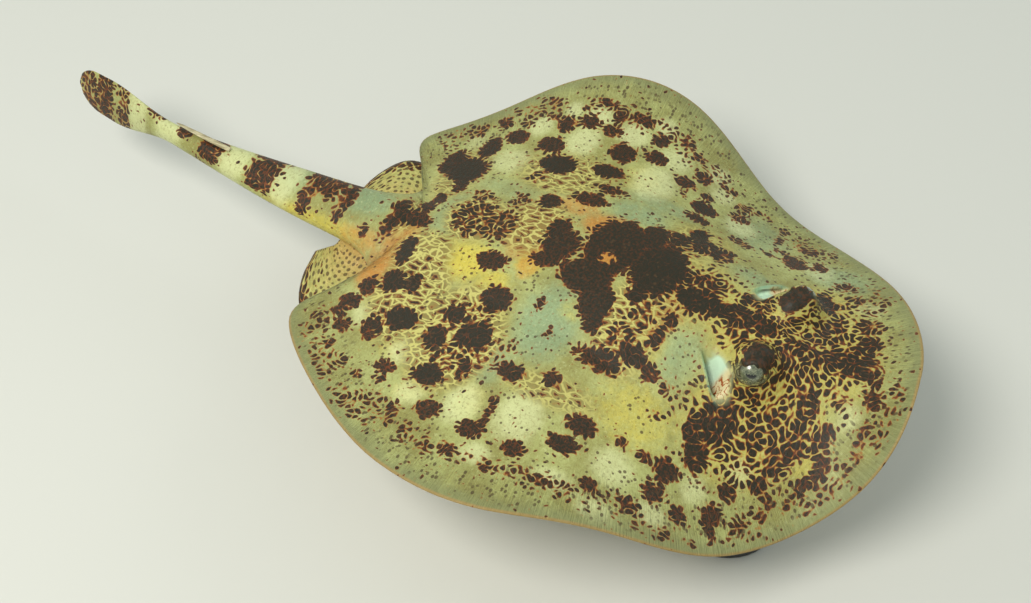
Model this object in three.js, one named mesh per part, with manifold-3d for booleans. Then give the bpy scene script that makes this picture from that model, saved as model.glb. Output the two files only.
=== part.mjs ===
// Yellow stingray (Urobatis jamaicensis), life size, gliding with its disc in a gentle wave,
// held by a flat base and two short rods. Millimetres, +Z up. The head points to -Y and the
// tail to +Y, the animal's left is +X, and the origin is the middle of the base's underside.
//
// The body is laid out on a fan of ribs. Each rib runs from the midline, u = 0, to the
// margin of the disc, u = 1. Along the body g goes from 0, the snout, to 1, the corner
// where the disc meets the tail, and on to 2, the tip of the tail.
import * as THREE from 'three';
import { mergeVertices } from 'three/addons/utils/BufferGeometryUtils.js';
import Module from 'manifold-3d';

// ---- driving dimensions ----
const DISC = 240;            // length of the disc
const BODY_Z = 56;           // height of the body's middle plane over the floor
const BODY_Y = -120;         // the snout's place along Y
const GAP = 0.3;             // clearance between neighbouring pieces
const EDGE = 1.4;            // thickness of the disc's margin

// half of the disc's margin as [half width, behind the snout], from beside the snout round
// the wing to the corner where the tail begins
const CORNER = new THREE.Vector2(23.5, 218);
const MARGIN = [[37, 12], [76, 46], [97, 86], [113, 130], [107, 170], [85, 206], [58, 234], [37, 226],
  CORNER.toArray()];
const SWEEP = 3;             // the right wing is swept this far forward and the left one back
const SWEEP_FADE = [160, 215];     // but not past here, behind the snout
const FAN_FRONT = 0.24;      // where the first rib leaves the midline, in disc lengths
const FAN_REAR = 0.86;       // where the last one does

// the swimming wave along the margin of each wing: its height at the snout and at the rear
// corner, how many waves there are, and by what share they are closer together in front
const WAVE = { front: 20, rear: 3 };
const WAVE_LEFT = { count: 1.75, crowd: -0.3 };
const WAVE_RIGHT = { count: 1.25, crowd: 1.1 };
const WAVE_START = 0.12;     // the part of a rib that stays stiff
const WAVE_POWER = 1.8;
const LIFT = 4;              // the head is raised by this much at the snout
const LIFT_START = 110;      // and its bend begins here, behind the snout
const SAG = 2;               // drop of the tail's root under the middle plane
const SAG_START = 120;

// the trunk along the midline, evenly spaced from the first rib to the last
const CREST = [18, 19.5, 20.5, 21, 20.5, 19, 16.5, 13.5, 10.8, 8.8];
const KEEL = [7, 8, 8.5, 8.5, 8.5, 8.5, 8.5, 8.5, 8.5, 8.8];

const BACK_POWER = 1.25;     // over 1, the back falls off from its crest sooner than the belly
const TAIL_BLEND = [0.94, 1.06];   // the thin-edged disc turns into an oval tail here

// the tail from the disc's corner to its tip: half width and half height, in shares of its
// length where the taper, the flare at the root and the growth of the fin are meant
const TAIL_END = 390;
const TAIL_WIDE = { root: 12.8, tip: 1.2, taper: [0.05, 0.95], flare: 0.045 };
const TAIL_HIGH = { root: 8.8, tip: 2, fin: 7.8, grow: [0.65, 0.88] };
const TAIL_BEND = 20.5;      // the tip's place to the left of the midline
const TAIL_DROP = 7;         // and below the root, this share of it in a straight line
const DROP_STRAIGHT = 0.33;
const TAIL_TWIST = 15;       // roll of the tail fin, degrees
const TWIST_OVER = [0.2, 0.8];     // it builds up over this part of the tail
const LAG_END = 0.35;        // the tail's ribs are square to it from here on
const TIP_ROUND = 0.07;      // the tail fin is rounded off over this share of the tail
const TIP_SHARP = 0.995;     // 1 would round it to a point

const HEAD_TURN = 9;         // the head looks this far to the right, degrees
const EYE = { x: 18.8, s: 57.5, z: 18.6, r: 5.7 };
const BROW = { x: 16.8, s: 57.5, rise: 10.5, radius: 9.2 };
const SPIRACLE = { x: 22, s: 70.2, z: 16.5, long: 8, wide: 3.6, deep: 6, turn: 38 };
// the sting: its width grows from one share to the other, and its tip ends short of a point
const SPINE = { from: 300, to: 330, wide: 3.2, thick: 1.4, rise: 0.6, grow: [0.8, 1.2],
  sharp: 0.99, thinTo: 0.2 };
// its cross-section as (share of the half width, share of the thickness), upper points first
const SPINE_RING = [[-1, 0.45], [0, 1], [1, 0.45], [1, 0.2], [0, 0], [-1, 0.2]];
const PELVIC = { z: -9.9, droop: 1.4, thick: 2.6, edge: 1.1, rootX: [8, 11], rootS: [204, 238] };
// a pelvic fin's margin as (half width, behind the snout), from its front to its rear corner
const PELVIC_MARGIN = [[16, 200], [30, 207], [42, 219], [47, 230], [44, 239], [31, 245.5], [16, 248]];

const HEAD_REAR = 0.3;       // the rib where head and trunk part
const TAIL_SPLIT = 1.42;     // the root of the tail and its thin end part here
const FIN_SPLIT = 1.68;      // and the end and the tail fin here
// distance from the midline to the inner edge of the wings, snout to corner
const WING_ROOT = [32, 40, 43, 41, 36, 32, 29, 25, 19, 12.5];

const BASE = { long: 170, wide: 110, high: 8, corner: 22, bevel: 1.2 };
const ROD_RADIUS = 4;
const PAD = { radius: 8, high: 2, neck: 4 };
const RODS = { stand_rod_front: 108, stand_rod_rear: 170 };   // places behind the snout

// ---- how finely things are cut into faces ----
const MARGIN_STEPS = 400;
const MARGIN_FINE = 3 * MARGIN_STEPS;
const BEND_STEPS = 12;
const RIBS = { head: 16, trunk: 24, tailBase: 10, tailEnd: 6, fin: 10 };
const COLUMNS = { head: 8, wing: 8, trunk: 6, tailBase: 6, tailEnd: 5, fin: 5 };
const EYE_FACES = [16, 10];
const PIT_FACES = [12, 8];
const PELVIC_STEPS = { along: 14, out: 5 };
const SPINE_STEPS = 8;
const ROD_FACES = 24;

const COLOUR = { skin: 0xb9a878, wing: 0xc2b489, tail: 0xc9bd94, fin: 0x8d7a55, eye: 0x2b2a22,
  spine: 0x8c8a80, stand: 0x26282b, rod: 0xa9adb1 };

// ---- small helpers ----
const clamp = (t, lo = 0, hi = 1) => Math.min(hi, Math.max(lo, t));
const mix = (a, b, t) => a + (b - a) * t;
const ease = (lo, hi, t) => THREE.MathUtils.smoothstep(t, lo, hi);

// a smooth (Catmull-Rom) curve through evenly spaced values, t from 0 to 1
function smooth(values, t) {
  const last = values.length - 1;
  const place = clamp(t) * last;
  const i = Math.min(Math.floor(place), last - 1);
  const f = place - i;
  const [a, b, c, d] = [i - 1, i, i + 1, i + 2].map((k) => values[clamp(k, 0, last)]);
  return b + 0.5 * f * (c - a + f * (2 * a - 5 * b + 4 * c - d + f * (3 * (b - c) + d - a)));
}

// a wing's margin points, swept
const wingPoints = (side) => MARGIN.map(([x, s]) =>
  [side * x, s + side * SWEEP * (1 - ease(...SWEEP_FADE, s))]);

// one half of the disc's margin, evenly spaced, as (half width, behind the snout)
function evenMargin(side) {
  const whole = [...wingPoints(-side).reverse(), [0, 0], ...wingPoints(side)];
  const points = [];
  for (let k = 0; k <= MARGIN_FINE; k++) {
    const t = 0.5 + 0.5 * k / MARGIN_FINE;
    const [x, s] = [0, 1].map((n) => smooth(whole.map((p) => p[n]), t));
    points.push(new THREE.Vector2(side * x, s));
  }
  const far = [0];
  for (let k = 1; k <= MARGIN_FINE; k++) far.push(far[k - 1] + points[k].distanceTo(points[k - 1]));
  const even = [];
  let k = 1;
  for (let n = 0; n <= MARGIN_STEPS; n++) {
    const want = far[MARGIN_FINE] * n / MARGIN_STEPS;
    while (k < MARGIN_FINE && far[k] < want) k++;
    even.push(points[k - 1].clone().lerp(points[k], clamp((want - far[k - 1]) / (far[k] - far[k - 1]))));
  }
  return even;
}
const MARGINS = { 1: evenMargin(1), '-1': evenMargin(-1) };

function marginAt(side, v) {
  const at = clamp(v) * MARGIN_STEPS;
  const i = Math.min(Math.floor(at), MARGIN_STEPS - 1);
  return MARGINS[side][i].clone().lerp(MARGINS[side][i + 1], at - i);
}

// ---- the body's surface ----
// height of the body's middle at a distance s behind the snout
function axisHeight(s) {
  const head = LIFT * clamp((LIFT_START - s) / LIFT_START) ** 2;
  const t = clamp((s - CORNER.y) / (TAIL_END - CORNER.y));
  return head - SAG * ease(SAG_START, CORNER.y, s) - TAIL_DROP * t * mix(1, t, 1 - DROP_STRAIGHT);
}

function waveHeight(side, v) {
  const { count, crowd } = side > 0 ? WAVE_LEFT : WAVE_RIGHT;
  const waves = count * v * (1 + crowd * (1 - v));
  return mix(WAVE.front, WAVE.rear, v * v) * Math.cos(2 * Math.PI * waves);
}

// half width and half height of the tail, t from 0 at the disc's corner to 1 at the tip
function tailWide(t) {
  const flare = (CORNER.x - TAIL_WIDE.root) * Math.exp(-t / TAIL_WIDE.flare);
  return mix(TAIL_WIDE.root, TAIL_WIDE.tip, ease(...TAIL_WIDE.taper, t)) + flare;
}
const tailHigh = (t) => mix(TAIL_HIGH.root, TAIL_HIGH.tip, t) + TAIL_HIGH.fin * ease(...TAIL_HIGH.grow, t);

const stretch = (u) => clamp((u - WAVE_START) / (1 - WAVE_START));
const waveShape = (u) => stretch(u) ** WAVE_POWER;
const waveSlope = (u) => WAVE_POWER / (1 - WAVE_START) * stretch(u) ** (WAVE_POWER - 1);

// how far along its plan a bent rib reaches at u, so that its own length is kept
function bentReach(u, height, length) {
  let sum = 0;
  for (let k = 0; k < BEND_STEPS; k++) {
    const slope = height * waveSlope(u * (k + 0.5) / BEND_STEPS) / length;
    sum += u / BEND_STEPS / Math.hypot(1, slope);
  }
  return sum;
}

// one rib: where it starts and ends in the plan, its length and its heights
function rib(side, g) {
  const v = Math.min(g, 1);
  const t = clamp(g - 1);
  const end = marginAt(side, v);
  let start = DISC * mix(FAN_FRONT, FAN_REAR, v);
  let top = smooth(CREST, v);
  let keel = smooth(KEEL, v);
  if (g > 1) {
    const s = mix(CORNER.y, TAIL_END, t);
    end.set(tailWide(t), s);
    start = s - (CORNER.y - DISC * FAN_REAR) * clamp(1 - t / LAG_END) ** 2;
    const tip = clamp((t - 1 + TIP_ROUND) / TIP_ROUND);
    const rounded = Math.sqrt(1 - TIP_SHARP * tip * tip);
    end.x *= rounded;
    top = tailHigh(t) * rounded;
    keel = top;
  }
  const tail = ease(...TAIL_BLEND, g);       // 0 a thin-edged disc, 1 an oval tail
  return { start, end, top, keel, tail, t, wave: g > 1 ? 0 : waveHeight(side, v) };
}

// the head is turned, so what is on its right lies further back
const turned = (x, s) => s - x * Math.tan(THREE.MathUtils.degToRad(HEAD_TURN));

// the little domes that wrap the eyes, open to the side
function browHeight(x, s) {
  const d = Math.hypot(Math.abs(x) - BROW.x, s - turned(x, BROW.s)) / BROW.radius;
  return BROW.rise * Math.exp(-(d ** 3));
}

// a point of the upper (face = 1) or lower (face = -1) skin
function skin(side, g, u, face) {
  const r = rib(side, g);
  const along = new THREE.Vector2(r.end.x, r.end.y - r.start);
  const length = along.length();
  const reach = bentReach(u, r.wave, length);
  const a = mix(reach, Math.sin(u * Math.PI / 2), r.tail);
  const disc = ((1 + Math.cos(Math.PI * u)) / 2) ** (face > 0 ? BACK_POWER : 1);
  const oval = Math.cos(u * Math.PI / 2);
  const thick = (face > 0 ? r.top : r.keel) * mix(disc, oval, r.tail) + (1 - r.tail) * EDGE / 2;
  const tilt = Math.atan(r.wave * waveSlope(u) / length) * (1 - r.tail);
  const push = -face * Math.sin(tilt) * thick / length;
  const x = side * along.x * (a + push);
  const s = r.start + along.y * (a + push);
  const z = r.wave * waveShape(u) + face * Math.cos(tilt) * thick;
  return place(x, s, face > 0 ? z + browHeight(x, s) : z, r.t);
}

// from the straight body to its place: bend, twist and droop of the axis
function place(x, s, z, t = 0) {
  const turn = THREE.MathUtils.degToRad(TAIL_TWIST) * ease(...TWIST_OVER, t);
  const xt = x * Math.cos(turn) + z * Math.sin(turn);
  const zt = z * Math.cos(turn) - x * Math.sin(turn);
  return new THREE.Vector3(xt + TAIL_BEND * t * t, s + BODY_Y, zt + axisHeight(s) + BODY_Z);
}

// ---- closed meshes ----
function meshOf(vertices, triangles) {
  const geometry = new THREE.BufferGeometry();
  const numbers = vertices.flatMap((p) => [p.x, p.y, p.z]);
  geometry.setAttribute('position', new THREE.Float32BufferAttribute(numbers, 3));
  geometry.setIndex(triangles.flat());
  return geometry;
}

// A slab between the upper and the lower skin over patches of the fan. Each patch is
// { side, gs, us }: its rib values, and a function that gives each rib's values of u.
function slab(patches) {
  const vertices = [];
  const order = [];        // neighbours split their facing walls along the same diagonals
  const seen = new Map();
  const vertex = (side, g, u, face) => {
    const own = u === 0 || g === 0 ? 0 : side;      // both halves share the midline
    const key = [own, g.toFixed(5), u.toFixed(5), face].join();
    if (!seen.has(key)) {
      seen.set(key, vertices.length);
      vertices.push(skin(side, g, u, face));
      order.push(g + side * u / 1000);
    }
    return seen.get(key);
  };
  const triangles = [];
  const edges = new Map();
  const add = (top, bottom) => {
    for (let k = 1; k + 1 < top.length; k++) {
      triangles.push([top[0], top[k], top[k + 1]], [bottom[0], bottom[k + 1], bottom[k]]);
    }
    top.forEach((p, k) => {
      const q = top[(k + 1) % top.length];
      if (edges.has(`${q},${p}`)) edges.delete(`${q},${p}`);
      else edges.set(`${p},${q}`, [p, q, bottom[k], bottom[(k + 1) % top.length]]);
    });
  };
  for (const { side, gs, us } of patches) {
    for (let i = 0; i + 1 < gs.length; i++) {
      const [a, b] = [us(side, gs[i]), us(side, gs[i + 1])];
      for (let j = 0; j + 1 < a.length; j++) {
        let corners = [[gs[i], a[j]], [gs[i + 1], b[j]], [gs[i + 1], b[j + 1]], [gs[i], a[j + 1]]];
        if (side > 0) corners = corners.reverse();
        const ring = (face) => corners.map(([g, u]) => vertex(side, g, u, face));
        add(ring(1), ring(-1));
      }
    }
  }
  for (const [p, q, pb, qb] of edges.values()) {
    if (order[p] < order[q]) triangles.push([q, p, qb], [p, pb, qb]);
    else triangles.push([q, p, pb], [q, pb, qb]);
  }
  return meshOf(vertices, triangles.filter(([a, b, c]) => a !== b && b !== c && c !== a));
}

const steps = (from, to, n) => Array.from({ length: n + 1 }, (_, k) => mix(from, to, k / n));
const ribLength = (side, g) => {
  const r = rib(side, g);
  return Math.hypot(r.end.x, r.end.y - r.start);
};
const CUT = 0.0011;          // half a gap, as a share of the fan's ribs
const HEAD_RIBS = steps(0, HEAD_REAR - CUT, RIBS.head);
const TRUNK_RIBS = steps(HEAD_REAR + CUT, 1 - CUT, RIBS.trunk);

// the columns of a piece inside the wings, and of a wing from its root outward
const ROOT_GAP = 0.6 * GAP;  // over half, because the cut runs at a slant to the ribs
const innerColumns = (n) => (side, g) => steps(0, (smooth(WING_ROOT, g) - ROOT_GAP) / ribLength(side, g), n);
const wingColumns = (n) => (side, g) => steps((smooth(WING_ROOT, g) + ROOT_GAP) / ribLength(side, g), 1, n);
const allColumns = (n) => () => steps(0, 1, n);
const bothSides = (gs, us) => [{ side: 1, gs, us }, { side: -1, gs, us }];

// ---- booleans ----
const wasm = await Module();
wasm.setup();

function solid(geometry) {
  const bare = geometry.clone();
  for (const name of Object.keys(bare.attributes)) if (name !== 'position') bare.deleteAttribute(name);
  const merged = mergeVertices(bare, 1e-4);
  return new wasm.Manifold(new wasm.Mesh({
    numProp: 3,
    vertProperties: new Float32Array(merged.attributes.position.array),
    triVerts: new Uint32Array(merged.index.array),
  }));
}

function geometryOf(body) {
  const mesh = body.getMesh();
  const geometry = new THREE.BufferGeometry();
  geometry.setAttribute('position', new THREE.BufferAttribute(new Float32Array(mesh.vertProperties), 3));
  geometry.setIndex(new THREE.BufferAttribute(new Uint32Array(mesh.triVerts), 1));
  return geometry;
}

function ball(centre, radius) {
  const geometry = new THREE.SphereGeometry(radius, ...EYE_FACES);
  geometry.rotateX(Math.PI / 2);
  geometry.translate(centre.x, centre.y, centre.z);
  return geometry;
}

// ---- the animal's pieces ----
const eyePlace = (side) => place(side * EYE.x, turned(side * EYE.x, EYE.s), EYE.z);

function headGeometry() {
  let head = solid(slab(bothSides(HEAD_RIBS, innerColumns(COLUMNS.head))));
  for (const side of [1, -1]) {
    head = head.subtract(solid(ball(eyePlace(side), EYE.r + GAP)));
    const pit = new THREE.SphereGeometry(1, ...PIT_FACES);
    pit.scale(SPIRACLE.long, SPIRACLE.wide, SPIRACLE.deep);
    pit.rotateZ(-side * THREE.MathUtils.degToRad(SPIRACLE.turn));
    const p = place(side * SPIRACLE.x, turned(side * SPIRACLE.x, SPIRACLE.s), SPIRACLE.z);
    pit.translate(p.x, p.y, p.z);
    head = head.subtract(solid(pit));
  }
  return geometryOf(head);
}

function wingGeometry(side) {
  return slab([{ side, gs: [CUT, ...HEAD_RIBS.slice(1), ...TRUNK_RIBS], us: wingColumns(COLUMNS.wing) }]);
}

function trunkGeometry() {
  return slab(bothSides(TRUNK_RIBS, innerColumns(COLUMNS.trunk)));
}

function tailGeometry(from, to, part) {
  return slab(bothSides(steps(from, to, RIBS[part]), allColumns(COLUMNS[part])));
}

// A closed body through rings of points. Each ring has its upper points first and then as
// many lower ones on the way back, so an end is closed by zipping the two together.
function loft(rings) {
  const count = rings[0].length;
  const triangles = [];
  const quad = (a, b, c, d) => triangles.push([a, b, c], [a, c, d]);
  for (let k = 0; k + 1 < rings.length; k++) {
    for (let i = 0; i < count; i++) {
      const next = (i + 1) % count;
      quad(k * count + i, (k + 1) * count + i, (k + 1) * count + next, k * count + next);
    }
  }
  const last = (rings.length - 1) * count;
  for (let i = 0; i + 1 < count / 2; i++) {
    quad(i, i + 1, count - 2 - i, count - 1 - i);
    quad(last + count - 1 - i, last + count - 2 - i, last + i + 1, last + i);
  }
  const vertices = rings.flat();
  const volume = triangles.reduce((sum, [a, b, c]) => (
    sum + vertices[a].dot(vertices[b].clone().cross(vertices[c]))), 0);
  return meshOf(vertices, volume > 0 ? triangles : triangles.map(([a, b, c]) => [a, c, b]));
}

// a pelvic fin: rings go from its root under the tail's base out to its own margin
function pelvicGeometry(side) {
  const along = steps(0, 1, PELVIC_STEPS.along);
  const [xs, ss] = [0, 1].map((k) => PELVIC_MARGIN.map((p) => p[k]));
  return loft(steps(0, 1, PELVIC_STEPS.out).map((u) => {
    const thick = mix(PELVIC.thick, PELVIC.edge, u) / 2;
    const z = PELVIC.z - PELVIC.droop * u * u;
    const point = (t, face) => place(
      side * mix(mix(...PELVIC.rootX, t), smooth(xs, t), u),
      mix(mix(...PELVIC.rootS, t), smooth(ss, t), u), z + face * thick);
    return [...along.map((t) => point(t, 1)), ...along.toReversed().map((t) => point(t, -1))];
  }));
}

// the sting: a flat blade with a low keel that lies on the tail and ends in a point
function spineGeometry() {
  const tailShare = (s) => (s - CORNER.y) / (TAIL_END - CORNER.y);
  const root = tailHigh(tailShare(SPINE.from)) + 2 * GAP;
  return loft(steps(0, 1, SPINE_STEPS).map((t) => {
    const s = mix(SPINE.from, SPINE.to, t);
    const z = root + SPINE.rise * t;
    const half = SPINE.wide / 2 * mix(...SPINE.grow, t) * Math.sqrt(1 - SPINE.sharp * t * t);
    const thick = SPINE.thick * mix(1, SPINE.thinTo, t);
    return SPINE_RING.map(([x, h]) => place(x * half, s, z + h * thick, tailShare(s)));
  }));
}

// ---- the display stand ----
function baseGeometry() {
  const shape = new THREE.Shape();
  const [w, l] = [BASE.wide / 2 - BASE.bevel, BASE.long / 2 - BASE.bevel];
  const r = BASE.corner - BASE.bevel;
  shape.moveTo(-w + r, -l);
  shape.lineTo(w - r, -l).absarc(w - r, -l + r, r, -Math.PI / 2, 0, false);
  shape.lineTo(w, l - r).absarc(w - r, l - r, r, 0, Math.PI / 2, false);
  shape.lineTo(-w + r, l).absarc(-w + r, l - r, r, Math.PI / 2, Math.PI, false);
  shape.lineTo(-w, -l + r).absarc(-w + r, -l + r, r, Math.PI, 1.5 * Math.PI, false);
  const geometry = new THREE.ExtrudeGeometry(shape, {
    depth: BASE.high - 2 * BASE.bevel, bevelThickness: BASE.bevel, bevelSize: BASE.bevel,
    bevelSegments: 2, curveSegments: 5,
  });
  geometry.translate(0, 0, BASE.bevel);
  return geometry;
}

// the belly's lowest point over a pad
function bellyOver(s) {
  const spots = [-1, 0, 1].map((k) => (s + k * PAD.radius) / DISC);
  return Math.min(...spots.map((d) => skin(1, (d - FAN_FRONT) / (FAN_REAR - FAN_FRONT), 0, -1).z));
}

// a rod with a round pad under the belly
function rodGeometry(s) {
  const top = bellyOver(s) - GAP;
  const profile = [[0, BASE.high], [ROD_RADIUS, BASE.high], [ROD_RADIUS, top - PAD.high - PAD.neck],
    [PAD.radius, top - PAD.high], [PAD.radius, top], [0, top]];
  const geometry = new THREE.LatheGeometry(profile.map(([x, y]) => new THREE.Vector2(x, y)), ROD_FACES);
  geometry.rotateX(Math.PI / 2);
  geometry.translate(0, s + BODY_Y, 0);
  return geometry;
}

const stingray = new THREE.Group();
function piece(name, geometry, color, roughness = 0.6, metalness = 0) {
  const mesh = new THREE.Mesh(geometry, new THREE.MeshStandardMaterial({ color, roughness, metalness }));
  mesh.name = name;
  stingray.add(mesh);
}
piece('head', headGeometry(), COLOUR.skin);
piece('trunk', trunkGeometry(), COLOUR.skin);
piece('wing_left', wingGeometry(1), COLOUR.wing);
piece('wing_right', wingGeometry(-1), COLOUR.wing);
piece('tail_base', tailGeometry(1 + CUT, TAIL_SPLIT - CUT, 'tailBase'), COLOUR.tail);
piece('tail_end', tailGeometry(TAIL_SPLIT + CUT, FIN_SPLIT - CUT, 'tailEnd'), COLOUR.tail);
piece('caudal_fin', tailGeometry(FIN_SPLIT + CUT, 2, 'fin'), COLOUR.fin);
piece('eye_left', ball(eyePlace(1), EYE.r), COLOUR.eye, 0.2);
piece('eye_right', ball(eyePlace(-1), EYE.r), COLOUR.eye, 0.2);
piece('pelvic_fin_left', pelvicGeometry(1), COLOUR.fin);
piece('pelvic_fin_right', pelvicGeometry(-1), COLOUR.fin);
piece('tail_spine', spineGeometry(), COLOUR.spine, 0.45);
piece('stand_base', baseGeometry(), COLOUR.stand, 0.5, 0.2);
for (const [name, s] of Object.entries(RODS)) piece(name, rodGeometry(s), COLOUR.rod, 0.3, 1);

export default stingray;
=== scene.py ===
"""Looks of the yellow stingray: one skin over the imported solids, its eyes, sting and stand.

The body is laid out on the same fan of ribs as the solids. Each rib runs from the midline,
u = 0, to the margin, u = 1. Along the body g goes from 0 at the snout over 1 at the corner
where disc and tail meet to 2 at the tail's tip. Lengths are in millimetres until a mesh is
made. "Plan" is the flat layout (x, s) of the body, s behind the snout, x to its left.
"""

import bmesh
import bpy
import numpy as np
from mathutils import Matrix, Vector


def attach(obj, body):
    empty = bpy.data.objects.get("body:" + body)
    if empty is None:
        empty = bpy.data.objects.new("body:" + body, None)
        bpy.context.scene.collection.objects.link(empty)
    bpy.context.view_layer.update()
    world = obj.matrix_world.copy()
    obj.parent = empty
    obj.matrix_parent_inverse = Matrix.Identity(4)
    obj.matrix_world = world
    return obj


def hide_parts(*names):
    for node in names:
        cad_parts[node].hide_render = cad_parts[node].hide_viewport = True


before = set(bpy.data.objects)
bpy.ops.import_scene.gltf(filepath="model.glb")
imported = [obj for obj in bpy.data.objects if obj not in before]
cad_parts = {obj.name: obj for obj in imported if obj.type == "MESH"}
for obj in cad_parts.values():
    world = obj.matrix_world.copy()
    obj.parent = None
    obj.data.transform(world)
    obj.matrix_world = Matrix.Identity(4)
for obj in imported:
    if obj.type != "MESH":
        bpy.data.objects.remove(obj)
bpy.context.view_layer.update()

# ---- the body's dimensions
DISC = 240.0
BODY_Z = 56.0
BODY_Y = -120.0
EDGE = 1.4
CORNER = (23.5, 218.0)
MARGIN = [
    (37, 12), (76, 46), (97, 86), (113, 130), (107, 170), (85, 206), (58, 234), (37, 226), CORNER,
]
SWEEP, SWEEP_FADE = 3.0, (160.0, 215.0)
FAN_FRONT = 0.24
FAN_REAR = 0.86
WAVE = dict(front=20.0, rear=3.0)
WAVE_LEFT = dict(count=1.75, crowd=-0.3)
WAVE_RIGHT = dict(count=1.25, crowd=1.1)
WAVE_START = 0.12
WAVE_POWER = 1.8
LIFT, LIFT_START = 4.0, 110.0
SAG, SAG_START = 2.0, 120.0
CREST = [18, 19.5, 20.5, 21, 20.5, 19, 16.5, 13.5, 10.8, 8.8]
KEEL = [7, 8, 8.5, 8.5, 8.5, 8.5, 8.5, 8.5, 8.5, 8.8]
BACK_POWER = 1.25
TAIL_BLEND = (0.94, 1.06)
TAIL_END = 390.0
TAIL_WIDE = dict(root=12.8, tip=1.2, taper=(0.05, 0.95), flare=0.045)
TAIL_HIGH = dict(root=8.8, tip=2.0, fin=7.8, grow=(0.65, 0.88))
TAIL_BEND, TAIL_DROP, DROP_STRAIGHT = 20.5, 7.0, 0.33
TAIL_TWIST, TWIST_OVER = 15.0, (0.2, 0.8)
LAG_END = 0.35
TIP_ROUND, TIP_SHARP = 0.07, 0.995
HEAD_TURN = 9.0
EYE = dict(x=18.8, s=57.5, z=18.6, r=5.7)
BROW = dict(x=16.8, s=57.5, rise=10.5, radius=9.2)
SPIRACLE = dict(x=22.0, s=69.4, long=7.6, wide=3.4, deep=5.5, turn=38.0)
LEFT_SHUT = 0.45
LID_SIDE, LID_UP, LID_DOWN = 54.0, 30.0, 33.0
LID_GAP, LID_SWELL, LID_TUCK = 0.6, 0.35, 1.7
CAP = dict(x=15.0, s=58.0, radius=6.0)
PIT_ZONE = dict(s=110.0, g=0.6)
MOUTH = dict(s=50.0, half=9.5, bow=0.018, slit=1.6, lips=3.2)
NOSTRIL = dict(x=8.5, s=43.5, wide=3.2, long=2.0)
VENT = dict(s=214.0, wide=2.0, long=6.0)
GILLS = dict(count=5, x=(25.0, 19.0), s=76.0, step=8.0, bow=0.05, half=4.0, slit=1.5, flap=2.6)
FOLD = dict(deep=0.7, wide=3.2, fade=(0.25, 0.5))
SPINE = dict(start=300.0, end=330.0, wide=3.2, thick=1.4, rise=0.6, lift=0.35)
BARB, BARBS_PER_ROW, GROOVE = 0.16, 0.28, 0.22
SPINE_ROWS, SPINE_AROUND = 90, 14
PELVIC = dict(z=-9.9, droop=1.4, thick=2.6, edge=1.1, root_x=(8, 11), root_s=(204, 238), inset=3)
PELVIC_ROOT, PELVIC_RIPPLE = 5.0, 0.45
PELVIC_MARGIN = [(16, 200), (30, 207), (42, 219), (47, 230), (44, 239), (31, 245.5), (16, 248)]
WING_ROOT = [32, 40, 43, 41, 36, 32, 29, 25, 19, 12.5]
FIN_FROM = (1.5, 1.62)
MARGIN_STEPS = 400
MARGIN_FINE = 3 * MARGIN_STEPS
BEND_STEPS = 12
FAR_FROM_EYES = 4.0

# ---- small helpers


def mix(a, b, t):
    return a + (b - a) * t


def ease(lo, hi, t):
    f = np.clip((t - lo) / (hi - lo), 0, 1)
    return f * f * (3 - 2 * f)


def hump(x, middle, wide):
    return np.exp(-(((x - middle) / wide) ** 2))


def smooth(values, t):
    """A smooth (Catmull-Rom) curve through evenly spaced values, t from 0 to 1."""
    values = np.asarray(values, float)
    last = len(values) - 1
    at = np.clip(t, 0, 1) * last
    i = np.minimum(np.floor(at).astype(int), last - 1)
    f = at - i
    a, b, c, d = (values[np.clip(i + k, 0, last)] for k in (-1, 0, 1, 2))
    return b + 0.5 * f * (c - a + f * (2 * a - 5 * b + 4 * c - d + f * (3 * (b - c) + d - a)))


def wing_points(side):
    """A wing's margin points, swept: the right wing forward and the left one back."""
    return [(side * x, s + side * SWEEP * (1 - ease(*SWEEP_FADE, s))) for x, s in MARGIN]


def even_margin(side):
    """One half of the disc's margin, evenly spaced, as (half width, behind the snout)."""
    whole = np.array(wing_points(-side)[::-1] + [(0, 0)] + wing_points(side), float)
    t = 0.5 + 0.5 * np.arange(MARGIN_FINE + 1) / MARGIN_FINE
    points = np.stack([side * smooth(whole[:, 0], t), smooth(whole[:, 1], t)], 1)
    far = np.concatenate([[0], np.cumsum(np.hypot(*np.diff(points, axis=0).T))])
    want = far[-1] * np.arange(MARGIN_STEPS + 1) / MARGIN_STEPS
    return np.stack([np.interp(want, far, points[:, k]) for k in (0, 1)], 1)


MARGINS = {1: even_margin(1), -1: even_margin(-1)}


def margin_at(side, v):
    at = np.clip(v, 0, 1) * MARGIN_STEPS
    k = np.arange(MARGIN_STEPS + 1)
    both = [[np.interp(at, k, MARGINS[one][:, j]) for j in (0, 1)] for one in (1, -1)]
    return [np.where(side > 0, left, right) for left, right in zip(*both)]


def tail_share(s):
    return (s - CORNER[1]) / (TAIL_END - CORNER[1])


def axis_height(s):
    head = LIFT * np.clip((LIFT_START - s) / LIFT_START, 0, 1) ** 2
    t = np.clip(tail_share(s), 0, 1)
    drop = TAIL_DROP * t * mix(1, t, 1 - DROP_STRAIGHT)
    return head - SAG * ease(SAG_START, CORNER[1], s) - drop


def wave_height(side, v):
    """Height of the margin: a wave that runs round each wing and fades to the rear."""
    count = np.where(side > 0, WAVE_LEFT["count"], WAVE_RIGHT["count"])
    crowd = np.where(side > 0, WAVE_LEFT["crowd"], WAVE_RIGHT["crowd"])
    waves = count * v * (1 + crowd * (1 - v))
    return mix(WAVE["front"], WAVE["rear"], v * v) * np.cos(2 * np.pi * waves)


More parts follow.
